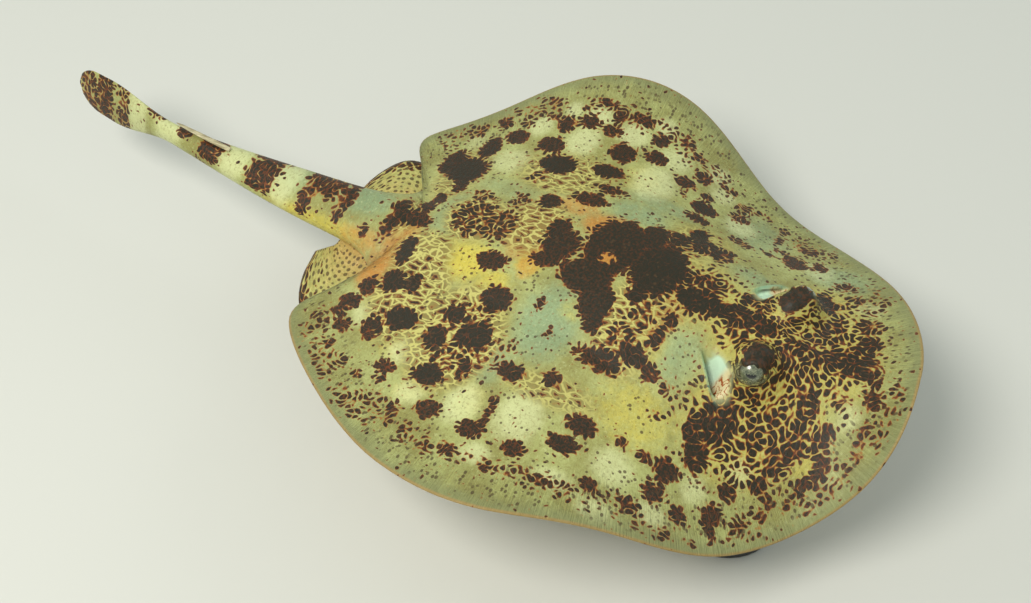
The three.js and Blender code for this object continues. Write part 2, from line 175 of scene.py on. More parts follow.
def tail_wide(t):
    """Half width of the tail, t from 0 at the disc's corner to 1 at the tip."""
    flare = (CORNER[0] - TAIL_WIDE["root"]) * np.exp(-t / TAIL_WIDE["flare"])
    return mix(TAIL_WIDE["root"], TAIL_WIDE["tip"], ease(*TAIL_WIDE["taper"], t)) + flare


def tail_high(t):
    """Half height of the tail, with the fin near its tip."""
    return mix(TAIL_HIGH["root"], TAIL_HIGH["tip"], t) + TAIL_HIGH["fin"] * ease(*TAIL_HIGH["grow"], t)


def stretch(u):
    return np.clip((u - WAVE_START) / (1 - WAVE_START), 0, 1)


def wave_slope(u):
    return WAVE_POWER / (1 - WAVE_START) * stretch(u) ** (WAVE_POWER - 1)


def bent_reach(u, height, length):
    """How far along its plan a bent rib reaches at u, so that its own length is kept."""
    total = np.zeros_like(u)
    for k in range(BEND_STEPS):
        slope = height * wave_slope(u * (k + 0.5) / BEND_STEPS) / length
        total = total + u / BEND_STEPS / np.hypot(1, slope)
    return total


def rib(side, g):
    """Where each rib starts and ends in the plan, and its heights."""
    v = np.minimum(g, 1)
    t = np.clip(g - 1, 0, 1)
    on_tail = g > 1
    ex, es = margin_at(side, v)
    start = DISC * mix(FAN_FRONT, FAN_REAR, v)
    s = mix(CORNER[1], TAIL_END, t)
    tip = np.clip((t - 1 + TIP_ROUND) / TIP_ROUND, 0, 1)
    rounded = np.sqrt(1 - TIP_SHARP * tip * tip)
    lag = (CORNER[1] - DISC * FAN_REAR) * np.clip(1 - t / LAG_END, 0, 1) ** 2
    high = tail_high(t) * rounded
    ex = np.where(on_tail, tail_wide(t) * rounded, ex)
    es = np.where(on_tail, s, es)
    start = np.where(on_tail, s - lag, start)
    top = np.where(on_tail, high, smooth(CREST, v))
    keel = np.where(on_tail, high, smooth(KEEL, v))
    wave = np.where(on_tail, 0, wave_height(side, v))
    return ex, es, start, top, keel, ease(*TAIL_BLEND, g), t, wave


def turned(x, s):
    """The head is turned, so what is on its right lies further back."""
    return s - x * np.tan(np.radians(HEAD_TURN))


def place(x, s, z, t=0.0):
    """From the straight body to its place: bend, twist and droop of the axis."""
    turn = np.radians(TAIL_TWIST) * ease(*TWIST_OVER, t)
    xt = x * np.cos(turn) + z * np.sin(turn)
    zt = z * np.cos(turn) - x * np.sin(turn)
    return np.stack([xt + TAIL_BEND * t * t, s + BODY_Y, zt + axis_height(s) + BODY_Z], -1)


# ---- the head's features
def eye_centre(side):
    return place(side * EYE["x"], turned(side * EYE["x"], EYE["s"]), EYE["z"])


LOOK = {side: Vector((side * 0.82, -0.2, 0.53)).normalized() for side in (1, -1)}


def brow_height(x, s):
    """The dome that wraps each eye."""
    d = np.hypot(np.abs(x) - BROW["x"], s - turned(x, BROW["s"])) / BROW["radius"]
    return BROW["rise"] * np.exp(-(d ** 3))


def spiracle_frame(x, s):
    """A spot in the nearer spiracle's own frame: share along it, outward, and across, backward."""
    side = np.where(x < 0, -1, 1)
    dx = side * x - SPIRACLE["x"]
    dy = s - turned(side * SPIRACLE["x"], SPIRACLE["s"])
    turn = np.radians(SPIRACLE["turn"])
    along = dx * np.cos(turn) - dy * np.sin(turn)
    across = dx * np.sin(turn) + dy * np.cos(turn)
    return along / SPIRACLE["long"], across / SPIRACLE["wide"]


def spiracle_share(a, b):
    """How far out a spot lies in a spiracle, 1 at its rim: an oval with fuller corners."""
    return (np.abs(a) ** 3 + np.abs(b) ** 3) ** (1 / 3)


def spiracle_depth(x, s):
    """The floor slopes back from the eye to a slit under the rear lip."""
    a, b = spiracle_frame(x, s)
    ends = 1 - ease(0.72, 1.05, np.abs(a))
    floor = ease(-1.1, 0.6, b) * (1 - ease(0.72, 0.95, b)) * np.where(x > 0, LEFT_SHUT, 1)
    lips = hump(b, 1.2, 0.24) + 0.7 * hump(b, -1.2, 0.22)
    return SPIRACLE["deep"] * ends * floor - lips * (1 - ease(0.8, 1.3, np.abs(a)))


def skin_point(side, g, u, face):
    """Places of skin points, and their plan. All arguments are arrays of one shape."""
    ex, es, start, top, keel, tail, t, wave = rib(side, g)
    ax, ay = ex, es - start
    length = np.hypot(ax, ay)
    a = mix(bent_reach(u, wave, length), np.sin(u * np.pi / 2), tail)
    disc = ((1 + np.cos(np.pi * u)) / 2) ** np.where(face > 0, BACK_POWER, 1)
    oval = np.cos(u * np.pi / 2)
    inward = (1 - u) * length
    round_edge = np.sqrt(1 - np.clip(1 - inward / EDGE, 0, 1) ** 2)
    rim = (1 - tail) * EDGE / 2
    thick = (np.where(face > 0, top, keel) * mix(disc, oval, tail) + rim)
    thick = thick * mix(round_edge, 1, tail)
    tilt = np.arctan(wave * wave_slope(u) / length) * (1 - tail)
    push = -face * np.sin(tilt) * thick / length
    x = side * ax * (a + push)
    s = start + ay * (a + push)
    z = wave * stretch(u) ** WAVE_POWER + face * np.cos(tilt) * thick
    z = z + np.where(face > 0, brow_height(x, s), 0)
    by_pits = (face > 0) & (s < PIT_ZONE["s"]) & (g < PIT_ZONE["g"])
    z = z - np.where(by_pits, spiracle_depth(x, s), 0)
    z = z + np.where((face < 0) & (g < 1), underside(x, s), 0)
    fold = FOLD["deep"] * ease(*FOLD["fade"], g) * hump(ax * u, smooth(WING_ROOT, g), FOLD["wide"])
    z = z - np.where((face > 0) & (g < 1), fold, 0)
    return place(x, s, z, t), np.stack([side * ax * u, start + ay * u], -1)


def opening(direction, side):
    """How far a direction from an eye's centre is from its look, 1 at the lids' edge."""
    look = np.array(LOOK[side])
    level = np.cross([0, 0, 1], look)
    level /= np.linalg.norm(level)
    rise = np.cross(look, level)
    angle = np.degrees(np.arccos(np.clip(direction @ look, -1, 1)))
    h = direction @ level
    v = direction @ rise
    flat = np.maximum(np.hypot(h, v), 1e-9)
    up_part = np.where(v > 0, LID_UP, LID_DOWN)
    return angle * np.hypot(h / flat / LID_SIDE, v / flat / up_part)


def open_eyes(points):
    """The skin lies round each eyeball, opens between the lids and dips behind their edge.

    Also gives how far each point is from the nearer eye's look, 1 at the lids' edge.
    """
    moved = points.copy()
    lids = np.full(points.shape[:-1], FAR_FROM_EYES)
    for side in (1, -1):
        centre = eye_centre(side)
        d = moved - centre
        r = np.linalg.norm(d, axis=-1)
        unit = d / np.maximum(r, 1e-9)[..., None]
        out = opening(unit, side)
        near = r < 3.0 * EYE["r"]
        lid = EYE["r"] + LID_GAP + LID_SWELL * hump(out, 1.12, 0.1)
        over = np.maximum(r, lid)
        edge = mix(EYE["r"] - LID_TUCK, lid, ease(0.93, 1.06, out))
        wanted = np.where(out < 1.15, edge, mix(lid, over, ease(1.15, 1.75, out)))
        new_r = np.where(near & (out < 1.75), wanted, np.where(near, over, r))
        moved = centre + unit * new_r[..., None]
        lids = np.where(r < 2.0 * EYE["r"], np.minimum(lids, out), lids)
    return moved, lids


# ---- the underside's features
def underside(x, s):
    """The underside's depth: mouth, nostrils, gill slits and vent."""
    y = s - turned(x, 0.0)
    bow = y - MOUTH["s"] + MOUTH["bow"] * x ** 2
    wide = 1 - ease(0.8, 1.1, np.abs(x) / MOUTH["half"])
    slit = hump(bow, 0, MOUTH["slit"]) * wide
    lips = hump(np.abs(bow), MOUTH["lips"], 2.4 ** 0.5) * wide
    off = (np.abs(x) - NOSTRIL["x"]) / NOSTRIL["wide"]
    nostril = np.hypot(off, (y - NOSTRIL["s"]) / NOSTRIL["long"])
    vent = np.hypot(x / VENT["wide"], (s - VENT["s"]) / VENT["long"])
    depth = 0.7 * slit - 0.5 * lips + 0.9 * hump(nostril, 0, 1) + 1.4 * np.exp(-(vent ** 3))
    for k in range(GILLS["count"]):
        along = np.abs(x) - mix(*GILLS["x"], k / (GILLS["count"] - 1))
        across = y - GILLS["s"] - GILLS["step"] * k - GILLS["bow"] * along ** 2
        gill = np.exp(-((along / GILLS["half"]) ** 4)) * hump(across, 0, GILLS["slit"])
        flap = np.exp(-((along / 4.5) ** 4)) * hump(across, -GILLS["flap"], 1.6)
        depth = depth + 0.6 * gill - 0.4 * flap
    return depth


# ---- the skin's mesh
def steps_by_density(count, density):
    """Values from 0 to 1 whose spacing follows one over density(value)."""
    fine = np.linspace(0, 1, 2001)
    total = np.concatenate([[0], np.cumsum(density((fine[1:] + fine[:-1]) / 2))])
    return np.interp(np.linspace(0, total[-1], count), total, fine)


def bump(lo, hi, soft, t):
    return ease(lo - soft, lo, t) * (1 - ease(hi, hi + soft, t))


DISC_ROWS, TAIL_ROWS, COLUMNS, EDGE_COLUMNS = 196, 96, 58, 4
ROWS = np.concatenate([
    steps_by_density(DISC_ROWS, lambda t: 1 + 1.6 * bump(0.09, 0.26, 0.05, t)),
    1 + np.linspace(0, 1, TAIL_ROWS + 1)[1:],
])


def column_values(side):
    """The values of u on every row, row by row, from the midline to the margin."""
    count = len(ROWS)
    even = np.linspace(0, 1, COLUMNS)
    dense = steps_by_density(COLUMNS, lambda t: 1 + 1.7 * bump(0.16, 0.5, 0.12, t))
    head = (1 - ease(0.3, 0.45, ROWS))[:, None]
    inner = mix(even, dense, head)
    ex, es, start, *_ = rib(np.full(count, side), ROWS)
    length = np.hypot(ex, es - start)
    tail = ease(*TAIL_BLEND, ROWS)
    reach = np.maximum(1 - EDGE / length * (1 - tail), 0.9)
    edge = np.sin(np.linspace(0, np.pi / 2, EDGE_COLUMNS + 1)[1:])
    tail_edge = mix(0.955, 1.0, np.linspace(0, 1, EDGE_COLUMNS + 1)[1:])
    reach = mix(reach, 0.955, tail)
    outer = reach[:, None] + (1 - reach)[:, None] * edge
    outer = mix(outer, tail_edge, tail[:, None])
    return np.concatenate([inner * reach[:, None], outer], 1)


def body_sheet(face):
    """One side of the body as a grid from the right margin over the midline to the left."""
    right, left = column_values(-1), column_values(1)
    u = np.concatenate([right[:, ::-1], left[:, 1:]], 1)
    half = right.shape[1]
    side = np.concatenate([np.full(half, -1.0), np.full(half - 1, 1.0)])
    side = np.broadcast_to(side, u.shape)
    g = np.broadcast_to(ROWS[:, None], u.shape)
    faces = np.full(u.shape, float(face))
    points, plan = skin_point(side, g, u, faces)
    lid = np.full(u.shape, FAR_FROM_EYES)
    if face > 0:
        points, lid = open_eyes(points)
    return points, plan, side, g, u, lid


def fin_sheet(side, face, rings=16, along=40):
    """One side of a pelvic fin, from its root inside the body to its margin."""
    u, t = np.meshgrid(np.linspace(0, 1, rings) ** 0.8, np.linspace(0, 1, along), indexing="ij")
    xs, ss = (np.array(PELVIC_MARGIN, float)[:, k] for k in (0, 1))
    flat_x = mix(mix(*PELVIC["root_x"], t) - PELVIC["inset"], smooth(xs, t), u)
    flat_s = mix(mix(*PELVIC["root_s"], t), smooth(ss, t), u)
    edge = np.minimum(np.minimum(t, 1 - t) * 30, (1 - u) * 25)
    round_edge = np.sqrt(1 - np.clip(1 - edge, 0, 1) ** 2)
    thick = mix(PELVIC["thick"], PELVIC["edge"], u) / 2 * round_edge
    ripple = PELVIC_RIPPLE * np.sin(t * 9.0 + 0.6) * u ** 2
    root = PELVIC_ROOT * (1 - ease(0.0, 0.4, u))
    z = PELVIC["z"] + root - PELVIC["droop"] * u * u + ripple + face * thick
    points = place(side * flat_x, flat_s, z)
    return points, np.stack([side * flat_x, flat_s], -1), u, t


# ---- the markings
# Blotches of dark cells as (x, s, half width, half length, strength in percent) in the plan.
BLOTCHES = [
    # the right wing, front to rear
    (-5, 8, 5, 2.5, 60), (-9, 14.5, 4, 3, 75), (-2, 16, 4, 4, 85), (-22, 9, 4, 2, 60),
    (-20, 15, 4, 2.5, 70), (-27, 15, 4.5, 2.5, 70), (-34, 17, 4, 2, 65), (-36, 26, 6, 3, 85),
    (-42, 29, 4, 3, 85), (-49, 31, 4, 2, 70), (-57, 38, 2.5, 2.5, 75), (-52, 37, 3, 3, 75),
    (-27, 29, 8, 5, 80), (-30, 38, 9, 5, 90), (-19, 38, 8, 5, 88), (-48, 44, 4, 4.5, 90),
    (-39, 42, 8, 5, 88), (-31, 50, 12, 9, 82), (-10, 15, 4.5, 4, 85), (-12, 27, 4, 3.5, 80),
    (-64, 44, 2.5, 3.5, 70), (-55, 53, 4.5, 4.5, 85), (-67, 55, 6, 4, 85), (-77, 51, 5, 2.2, 70),
    (-82, 57, 3, 2.5, 65), (-52, 60, 2, 1.5, 70), (-74, 65, 4, 4, 85), (-84, 66, 3, 3, 70),
    (-50, 68, 7, 5, 95), (-61, 75, 5, 5, 95), (-71, 76, 5.5, 4.5, 85), (-36, 66, 10, 8, 96),
    (-42, 72, 9, 5, 90), (-27, 60, 7, 9, 75), (-35, 86, 4, 4, 55), (-45, 86, 2, 4, 50),
    (-61, 84, 2.5, 3.5, 75), (-61, 93, 3, 3, 70), (-81, 82, 3, 4.5, 80), (-83, 96, 3.5, 4, 85),
    (-88, 102, 2, 3, 70), (-33, 94, 4, 4, 85), (-73, 111, 4.3, 6.8, 97), (-63, 108, 4.3, 6.8, 95),
    (-91, 112, 2.5, 6, 75), (-83, 126, 4.2, 5, 88), (-94, 131, 3.5, 3.2, 75), (-51, 125, 3.6, 4.4, 88),
    (-54, 141, 3.8, 6, 95), (-81, 144, 4.4, 5.8, 90), (-72, 141, 8, 2.2, 80), (-92, 148, 3.5, 3.2, 80),
    (-94, 156, 3.2, 2.6, 65), (-78, 163, 4.8, 5.4, 90), (-89, 166, 3.6, 3, 65), (-82, 175, 3.2, 3.2, 75),
    (-88, 175, 2.6, 2.2, 60), (-58, 158, 5.5, 3, 85), (-64, 170, 4.8, 6.8, 100), (-44, 161, 6.5, 8, 95),
    (-48, 175, 6, 5, 90), (-37, 172, 4.5, 5, 90), (-26, 160, 6.5, 6.5, 95), (-52, 165, 9, 9, 50),
    (-35, 165, 8, 8, 50), (-9.5, 170, 5, 7, 95), (-44, 192, 5.5, 7.5, 100), (-28, 195, 5, 4, 90),
    (-51, 201, 6.5, 5, 85), (-29, 203.5, 5.5, 5, 97), (-14, 205.5, 8, 3.4, 97), (-65.5, 187, 3.2, 5, 88),
    (-71, 187, 2.3, 3.8, 75), (-72, 196, 2.4, 3.2, 70), (-78, 182, 3.2, 2.4, 60), (-53, 213, 4, 4.4, 75),
    (-48, 218, 2.8, 3.2, 85), (-42, 215.5, 3.8, 5, 92), (-34, 212, 5, 3.8, 92), (-63, 213, 4, 3.2, 60),
    (-69, 204, 4, 3.2, 60), (-37, 112, 5.5, 9, 88), (-30, 102, 5, 6, 88), (-25, 109, 7, 6, 66),
    (-7, 111, 4, 4.5, 92), (-15, 105, 7, 6, 58), (-20, 97, 5, 3.2, 85), (-12, 95, 4.5, 3, 85),
    (-37, 122, 3.2, 2.6, 80), (-24, 121, 6, 4, 97), (-15, 124, 9, 7, 105), (-5, 132, 9, 11, 108),
    (-3, 150, 4, 7, 92), (-33, 135, 3.2, 1.8, 70), (-23, 143, 3.2, 2.4, 70), (-52, 150, 4.5, 8, 40),
    (-45, 147, 5, 6, 40),
    # the midline
    (3, 27, 8, 13, 95), (-1, 44, 6, 11, 92), (15, 38, 12, 5, 85), (26, 50, 10, 6, 90),
    (-9, 48, 9, 12, 80), (4, 48, 9, 12, 78), (2, 68, 7, 14, 98), (-9, 66, 6, 8, 75), (10, 69, 8, 8, 82),
    (1, 88, 7, 12, 102), (9, 89, 8, 9, 82), (9, 108, 16, 12, 100), (25, 117, 9, 6, 100),
    (13, 128, 18, 12, 108), (6, 148, 10, 8, 95), (15, 152, 7, 5, 92), (9.5, 175, 10, 6, 70),
    (10, 187, 11, 10, 67), (2, 208, 4, 6, 88), (10, 208, 6, 3, 88), (17, 206, 4, 3.4, 90),
    (27, 202, 6, 3, 92),
    # the left wing, front to rear
    (13, 24, 8, 6, 88), (24, 27, 5, 7, 78), (29, 48, 9, 9, 92), (38, 38, 4, 5, 72), (46, 43, 3.5, 6, 70),
    (56, 56, 4.5, 4, 78), (52, 66, 6.5, 6, 88), (57, 74, 2.4, 4, 80), (67, 64, 3.4, 7, 75),
    (66, 76, 4.5, 3.4, 62), (76, 76, 4.5, 2.8, 60), (50, 76, 2.4, 5, 75), (48, 89, 3.4, 7, 72),
    (68, 94, 4.4, 4.6, 80), (77, 95, 3.6, 4.4, 70), (80, 87, 2.6, 5.4, 65), (31, 91, 6.5, 5.5, 85),
    (31, 98, 7, 6, 90), (38, 103, 6, 4, 100), (29, 108, 6, 5, 88), (50.5, 108, 3.2, 6, 97),
    (60, 108, 4.8, 6, 102), (69, 110, 3.4, 2.8, 88), (79, 115, 4, 4.4, 82), (70, 120, 4.6, 5.4, 82),
    (62, 118, 2.4, 1.9, 70), (88, 121, 3.4, 3.2, 72), (92, 127, 4, 3, 78), (91, 132, 3, 2, 60),
    (75.5, 135, 4.4, 5.4, 92), (85.5, 137, 4.6, 4, 92), (82, 104, 2.4, 4.6, 72), (46, 143, 3.4, 8, 78),
    (57, 149, 4.4, 7.4, 103), (37, 148, 4.6, 8.4, 88), (70.5, 148, 6.2, 6.4, 95),
    (92, 148, 3.4, 6.4, 78), (80, 157, 4, 5.4, 84), (89, 157, 4.4, 3.4, 82), (53, 170, 6, 8.6, 105),
    (30, 163, 5, 5, 97), (82, 168, 4.4, 5, 88), (77, 177, 5.4, 4, 92), (64, 178, 5.4, 6.4, 93),
    (94, 165, 2.8, 5.6, 78), (89, 173, 2.8, 3.4, 65), (66, 194.5, 5, 5.6, 93), (75, 194, 3.4, 3.4, 65),
    (88, 187, 3.4, 3.4, 65), (80, 184, 2, 4.4, 65), (39, 205, 10, 8.6, 103), (57, 203, 7.6, 4.6, 100),
    (43, 214, 10.6, 4.6, 97), (74, 204, 4, 4, 82), (67, 213, 5.6, 4.4, 60), (24, 190, 4.4, 5.6, 62),
    (43, 175, 4.4, 4.6, 62), (26, 174, 6.6, 4.6, 58),
    # looser flecks inside the margin
    (-86, 190, 9, 20, 47), (-74, 212, 12, 8, 47), (-58, 222, 13, 6, 44), (-93, 152, 5, 20, 43),
    (-92, 115, 5, 22, 43), (-86, 80, 6, 14, 42), (-66, 42, 10, 9, 43), (-42, 23, 14, 7, 43),
    (-14, 7, 16, 5, 43), (92, 150, 6, 26, 43), (85, 195, 8, 16, 44), (86, 118, 5, 18, 42),
    (64, 222, 16, 6, 43), (70, 62, 8, 12, 42), (40, 30, 12, 8, 42),
    # saddles across the tail
    (0, 217, 10, 4, 82), (-8, 225, 2.6, 2.4, 85), (2, 240, 13, 3.4, 77), (3, 249, 6, 7, 76),
    (0, 257, 13, 4.2, 76), (0, 281, 14, 8.4, 77), (1, 309, 12, 6.8, 80), (0, 325, 2.8, 4.6, 76),
    (2, 342, 3.2, 5.8, 76), (0, 361, 6, 4.2, 66), (0, 372, 6, 5, 74), (0, 384, 7, 7, 70),
]
# Large pale round spots, and areas of other ground colours, in the same way.
PALE = [
    (-70, 130, 11, 9, 100), (-88, 108, 5, 8, 80), (-72, 152, 9, 7, 100), (-57, 183, 6, 8, 90),
    (-73, 173, 6, 6, 90), (-90, 138, 5, 6, 90), (-46, 207, 6, 5, 80), (-92, 90, 6, 8, 80),
    (-72, 92, 8, 8, 90), (-47, 52, 5, 5, 70), (-62, 64, 6, 5, 80), (-80, 73, 5, 6, 90),
    (-17, 22, 5, 5, 70), (-36, 21, 5, 3, 50), (60, 130, 12, 9, 100), (79, 128, 7, 7, 90),
    (86, 110, 6, 6, 80), (70, 166, 9, 7, 100), (86, 165, 5, 6, 100), (50, 190, 9, 9, 80),
    (74, 187, 6, 5, 100), (94, 138, 5, 5, 90), (82, 148, 7, 7, 100), (60, 211, 6, 5, 60),
    (0, 269, 12, 6, 100), (0, 296, 12, 7, 110), (0, 333, 9, 8, 100), (0, 352, 9, 6, 100),
    (61, 92, 8, 7, 90), (52, 55, 8, 7, 70), (35, 30, 5, 7, 60), (76, 105, 6, 6, 80), (86, 177, 5, 4, 90),
]
TEAL = [
    (-30, 137, 18, 13, 100), (-53, 150, 10, 9, 80), (-22, 86, 14, 10, 70), (22, 76, 9, 12, 80),
    (37, 128, 8, 13, 80), (62, 85, 16, 14, 70), (50, 46, 11, 14, 80), (8, 198, 20, 6, 70),
    (-5, 193, 6, 9, 70), (32, 180, 7, 22, 50), (3, 232, 7, 14, 90), (3, 266, 8, 8, 70),
    (48, 122, 6, 16, 70),
]
YELLOW = [
    (-12, 180, 10, 14, 100), (-20, 165, 7, 8, 80), (-50, 93, 14, 15, 60), (-24, 100, 9, 7, 60),
    (-34, 30, 6, 5, 60), (-70, 150, 8, 6, 50), (60, 135, 10, 8, 50), (-22, 130, 6, 6, 50),
    (-6, 155, 8, 6, 80), (-73, 174, 6, 6, 50), (-57, 188, 6, 6, 50), (-11, 252, 5, 30, 70),
    (-8, 190, 7, 8, 70),
]
ORANGE = [
    (-12, 209, 13, 7, 90), (-24, 214, 12, 7, 90), (-33, 200, 8, 10, 50), (23, 136, 8, 10, 90),
    (12, 162, 17, 9, 110), (-6, 155, 9, 5, 70), (30, 152, 6, 12, 70), (-8, 99, 12, 9, 50),
    (5.6, 128.3, 4, 4.6, 100), (-14, 196, 7, 8, 50), (-12, 226, 6, 12, 60),
]
# Areas where small dark cells and worms crowd on a yellow ground.
NET = [
    (-32, 58, 22, 22, 110), (4, 38, 25, 22, 105), (-25, 43, 22, 14, 105), (28, 45, 15, 14, 85),
    (-46, 168, 24, 18, 85), (-34, 194, 22, 16, 75), (14, 162, 20, 14, 60), (-18, 107, 24, 13, 85),
    (6, 92, 18, 26, 90), (-2, 66, 18, 18, 110), (48, 165, 16, 24, 55), (32, 100, 14, 14, 70),
    (-56, 124, 8, 24, 50), (-14, 198, 14, 14, 65), (10, 186, 14, 14, 70), (36, 206, 24, 12, 50),
    (2, 214, 12, 8, 50),
]
SPOT = (5.6, 128.3, 3.2, 4.0)


def field(spots, x, s, soft=0.36):
    """The strongest of a list of soft ellipses."""
    total = np.zeros_like(x)
    for cx, cs, rx, rs, strength in spots:
        d = np.hypot((x - cx) / rx, (s - cs) / rs)
        total = np.maximum(total, strength / 100 * (1 - ease(1 - soft, 1 + soft, d)))
    return total


def spot_share(x, s):
    """The bright star-shaped spot in the dark patch behind the head."""
    cx, cs, rx, rs = SPOT
    turn = np.arctan2(s - cs, x - cx)
    ragged = 1 + 0.2 * np.sin(7 * turn) + 0.1 * np.sin(11 * turn + 1)
    return 1 - ease(0.7, 1.15, np.hypot((x - cx) / rx, (s - cs) / rs) / ragged)


# ---- joining it all
class Parts:
    """Collects vertices, faces and each vertex's values for one mesh."""

    def __init__(self):
        self.points, self.values, self.faces, self.islands = [], {}, [], []
        self.count = 0

    def add(self, points, **values):
        shape = points.shape[:-1]
        flat = points.reshape(-1, 3)
        self.points.append(flat)
        for name, value in values.items():
            value = np.broadcast_to(value, shape + np.shape(value)[len(shape):])
            self.values.setdefault(name, []).append(value.reshape(len(flat), -1))
        index = np.arange(self.count, self.count + len(flat)).reshape(shape)
        self.count += len(flat)
        return index

    def grid(self, index, island, flip=False):
        a, b = index[:-1, :-1], index[:-1, 1:]
        c, d = index[1:, 1:], index[1:, :-1]
        quads = np.stack([a, b, c, d], -1).reshape(-1, 4)
        if flip:
            quads = quads[:, ::-1]
        self.faces.extend(quads.tolist())
        self.islands.extend([island] * len(quads))


def clean(ring):
    """A face without repeated corners, or None."""
    kept = [v for k, v in enumerate(ring) if v != ring[k - 1]]
    return kept if len(set(kept)) == len(kept) and len(kept) > 2 else None


UV_SIDE = 490.0
BODY_UV = dict(x=118.0, s=2.0, step=240.0)
FIN_UV = dict(x=-5.0, s=203.0, step=62.0)


def uv_of(island, plan):
    """The unwrap: the back, the belly and the four sides of the pelvic fins, side by side."""
    x, s = plan[..., 0], plan[..., 1]
    if island < 2:
        return (x + BODY_UV["x"] + BODY_UV["step"] * island) / UV_SIDE, (s + BODY_UV["s"]) / UV_SIDE
    across = np.abs(x) + FIN_UV["x"] + FIN_UV["step"] * (island - 2)
    return across / UV_SIDE, (s + FIN_UV["s"]) / UV_SIDE


def body_values(plan, side, g, u, face, lid):
    """Every value that the skin's material reads, for a sheet of the body."""
    x, s = plan[..., 0], plan[..., 1]
    ex, es, start, high, keel, oval, *_ = rib(side, g)
    length = np.hypot(ex, es - start)
    inward = (1 - u) * length
    top = face > 0
    height = face * (high if top else keel) * np.cos(u * np.pi / 2) * oval
    height = height + top * brow_height(x, s)
    fin_part = ease(*FIN_FROM, g)
    back = 1.0 if top else np.maximum(fin_part, oval * ease(0.5, 0.85, u))
    a, b = spiracle_frame(x, s)
    by_pit = spiracle_share(a, b)
    by_head = s < PIT_ZONE["s"]
    in_pit = (1 - ease(0.9, 1.06, by_pit)) * by_head * top
    dark = field(BLOTCHES, x, s)
    dark = dark * (1 - 0.7 * spot_share(x, s)) * (1 - in_pit)
    tail = ease(0.98, 1.04, g)
    side_fade = 1 - ease(0.8, 1.0, u) if top else 1.0
    dark = dark * mix(1, side_fade, tail * (1 - fin_part))
    dark = dark * ease(1.0, 5.0, inward + 20 * tail)
    cap = np.hypot(np.abs(x) - CAP["x"], s - turned(x, CAP["s"])) / CAP["radius"]
    cap = (1 - ease(0.75, 1.1, cap)) * top
    shown = 1.0 if top else tail
    return dict(
        plan=np.stack([x, s, height], -1),
        dark=np.maximum(dark, 1.06 * cap) * (back if top else back * fin_part),
        net=field(NET, x, s, 0.6) * (1 - in_pit) * (1 - cap) * ease(3.0, 14.0, inward) * top,
        pale=field(PALE, x, s, 0.6) * shown,
        teal=field(TEAL, x, s, 0.6) * shown,
        yellow=field(YELLOW, x, s, 0.6) * shown,
        orange=np.maximum(field(ORANGE, x, s, 0.5), spot_share(x, s)) * shown,
        under=1 - back,
        inward=inward,
        ray=g,
        tail=tail,
        cap=cap,
        pit=in_pit,
        # rim: the ring round each spiracle, where a painted highlight goes
        rim=(1 - ease(1.0, 1.38, by_pit)) * by_head * top,
        pit_along=np.clip(a, -2, 2),
        pit_across=np.clip(b, -2, 2),
        netted=ease(74.0, 120.0, s),
        left=np.sign(x),
        fin=0.0,
        lid=lid,
    )


def build_skin():
    """The body's two sheets and the pelvic fins, joined, and the plan of every vertex."""
    parts = Parts()
    sheets, uv_plan = [], []
    for face in (1, -1):
        points, plan, side, g, u, lid = body_sheet(face)
        sheets.append(parts.add(points, **body_values(plan, side, g, u, face, lid)))
        uv_plan.append(plan.reshape(-1, 2))
    index, below = sheets
    below[:, 0], below[:, -1] = index[:, 0], index[:, -1]
    for sheet in (index, below):
        half = sheet.shape[1] // 2
        sheet[0, half + 1:] = sheet[0, :half][::-1]
    parts.grid(index, 0)
    parts.grid(below, 1, flip=True)
    parts.grid(np.stack([index[-1], below[-1]]), 0, flip=True)
    for side in (1, -1):
        sheets = []
        for face in (1, -1):
            points, plan, u, t = fin_sheet(side, face)
            values = dict.fromkeys(parts.values, 0.0)
            values.update(
                plan=np.stack([t * 46, u * 40, np.zeros_like(u)], -1), dark=0.6 * ease(0.7, 0.95, u),
                pale=0.4, yellow=0.5, orange=0.9 * (1 - u), under=float(face < 0),
                inward=30 * (1 - u), ray=t, fin=1.0, lid=FAR_FROM_EYES,
            )
            sheets.append(parts.add(points, **values))
            uv_plan.append(plan.reshape(-1, 2))
        up, down = sheets
        down[-1], down[:, 0], down[:, -1] = up[-1], up[:, 0], up[:, -1]
        island = 2 if side > 0 else 4
        parts.grid(up, island, flip=side > 0)
        parts.grid(down, island + 1, flip=side < 0)
        parts.grid(np.stack([up[0], down[0]]), island, flip=side < 0)
    return parts, np.concatenate(uv_plan)


def add_object(name, data):
    made = bpy.data.objects.new(name, data)
    bpy.context.scene.collection.objects.link(made)
    return made


def keep_values(mesh, name, value):
    """Keeps a number or a vector on every vertex."""
    vector = value.shape[1] == 3
    made = mesh.attributes.new(name, "FLOAT_VECTOR" if vector else "FLOAT", "POINT")
    made.data.foreach_set("vector" if vector else "value", value.astype(np.float32).ravel())


def mesh_object(name, points, faces):
    mesh = bpy.data.meshes.new(name)
    mesh.from_pydata((points / 1000).tolist(), [], faces)
    mesh.shade_smooth()
    return add_object(name, mesh)


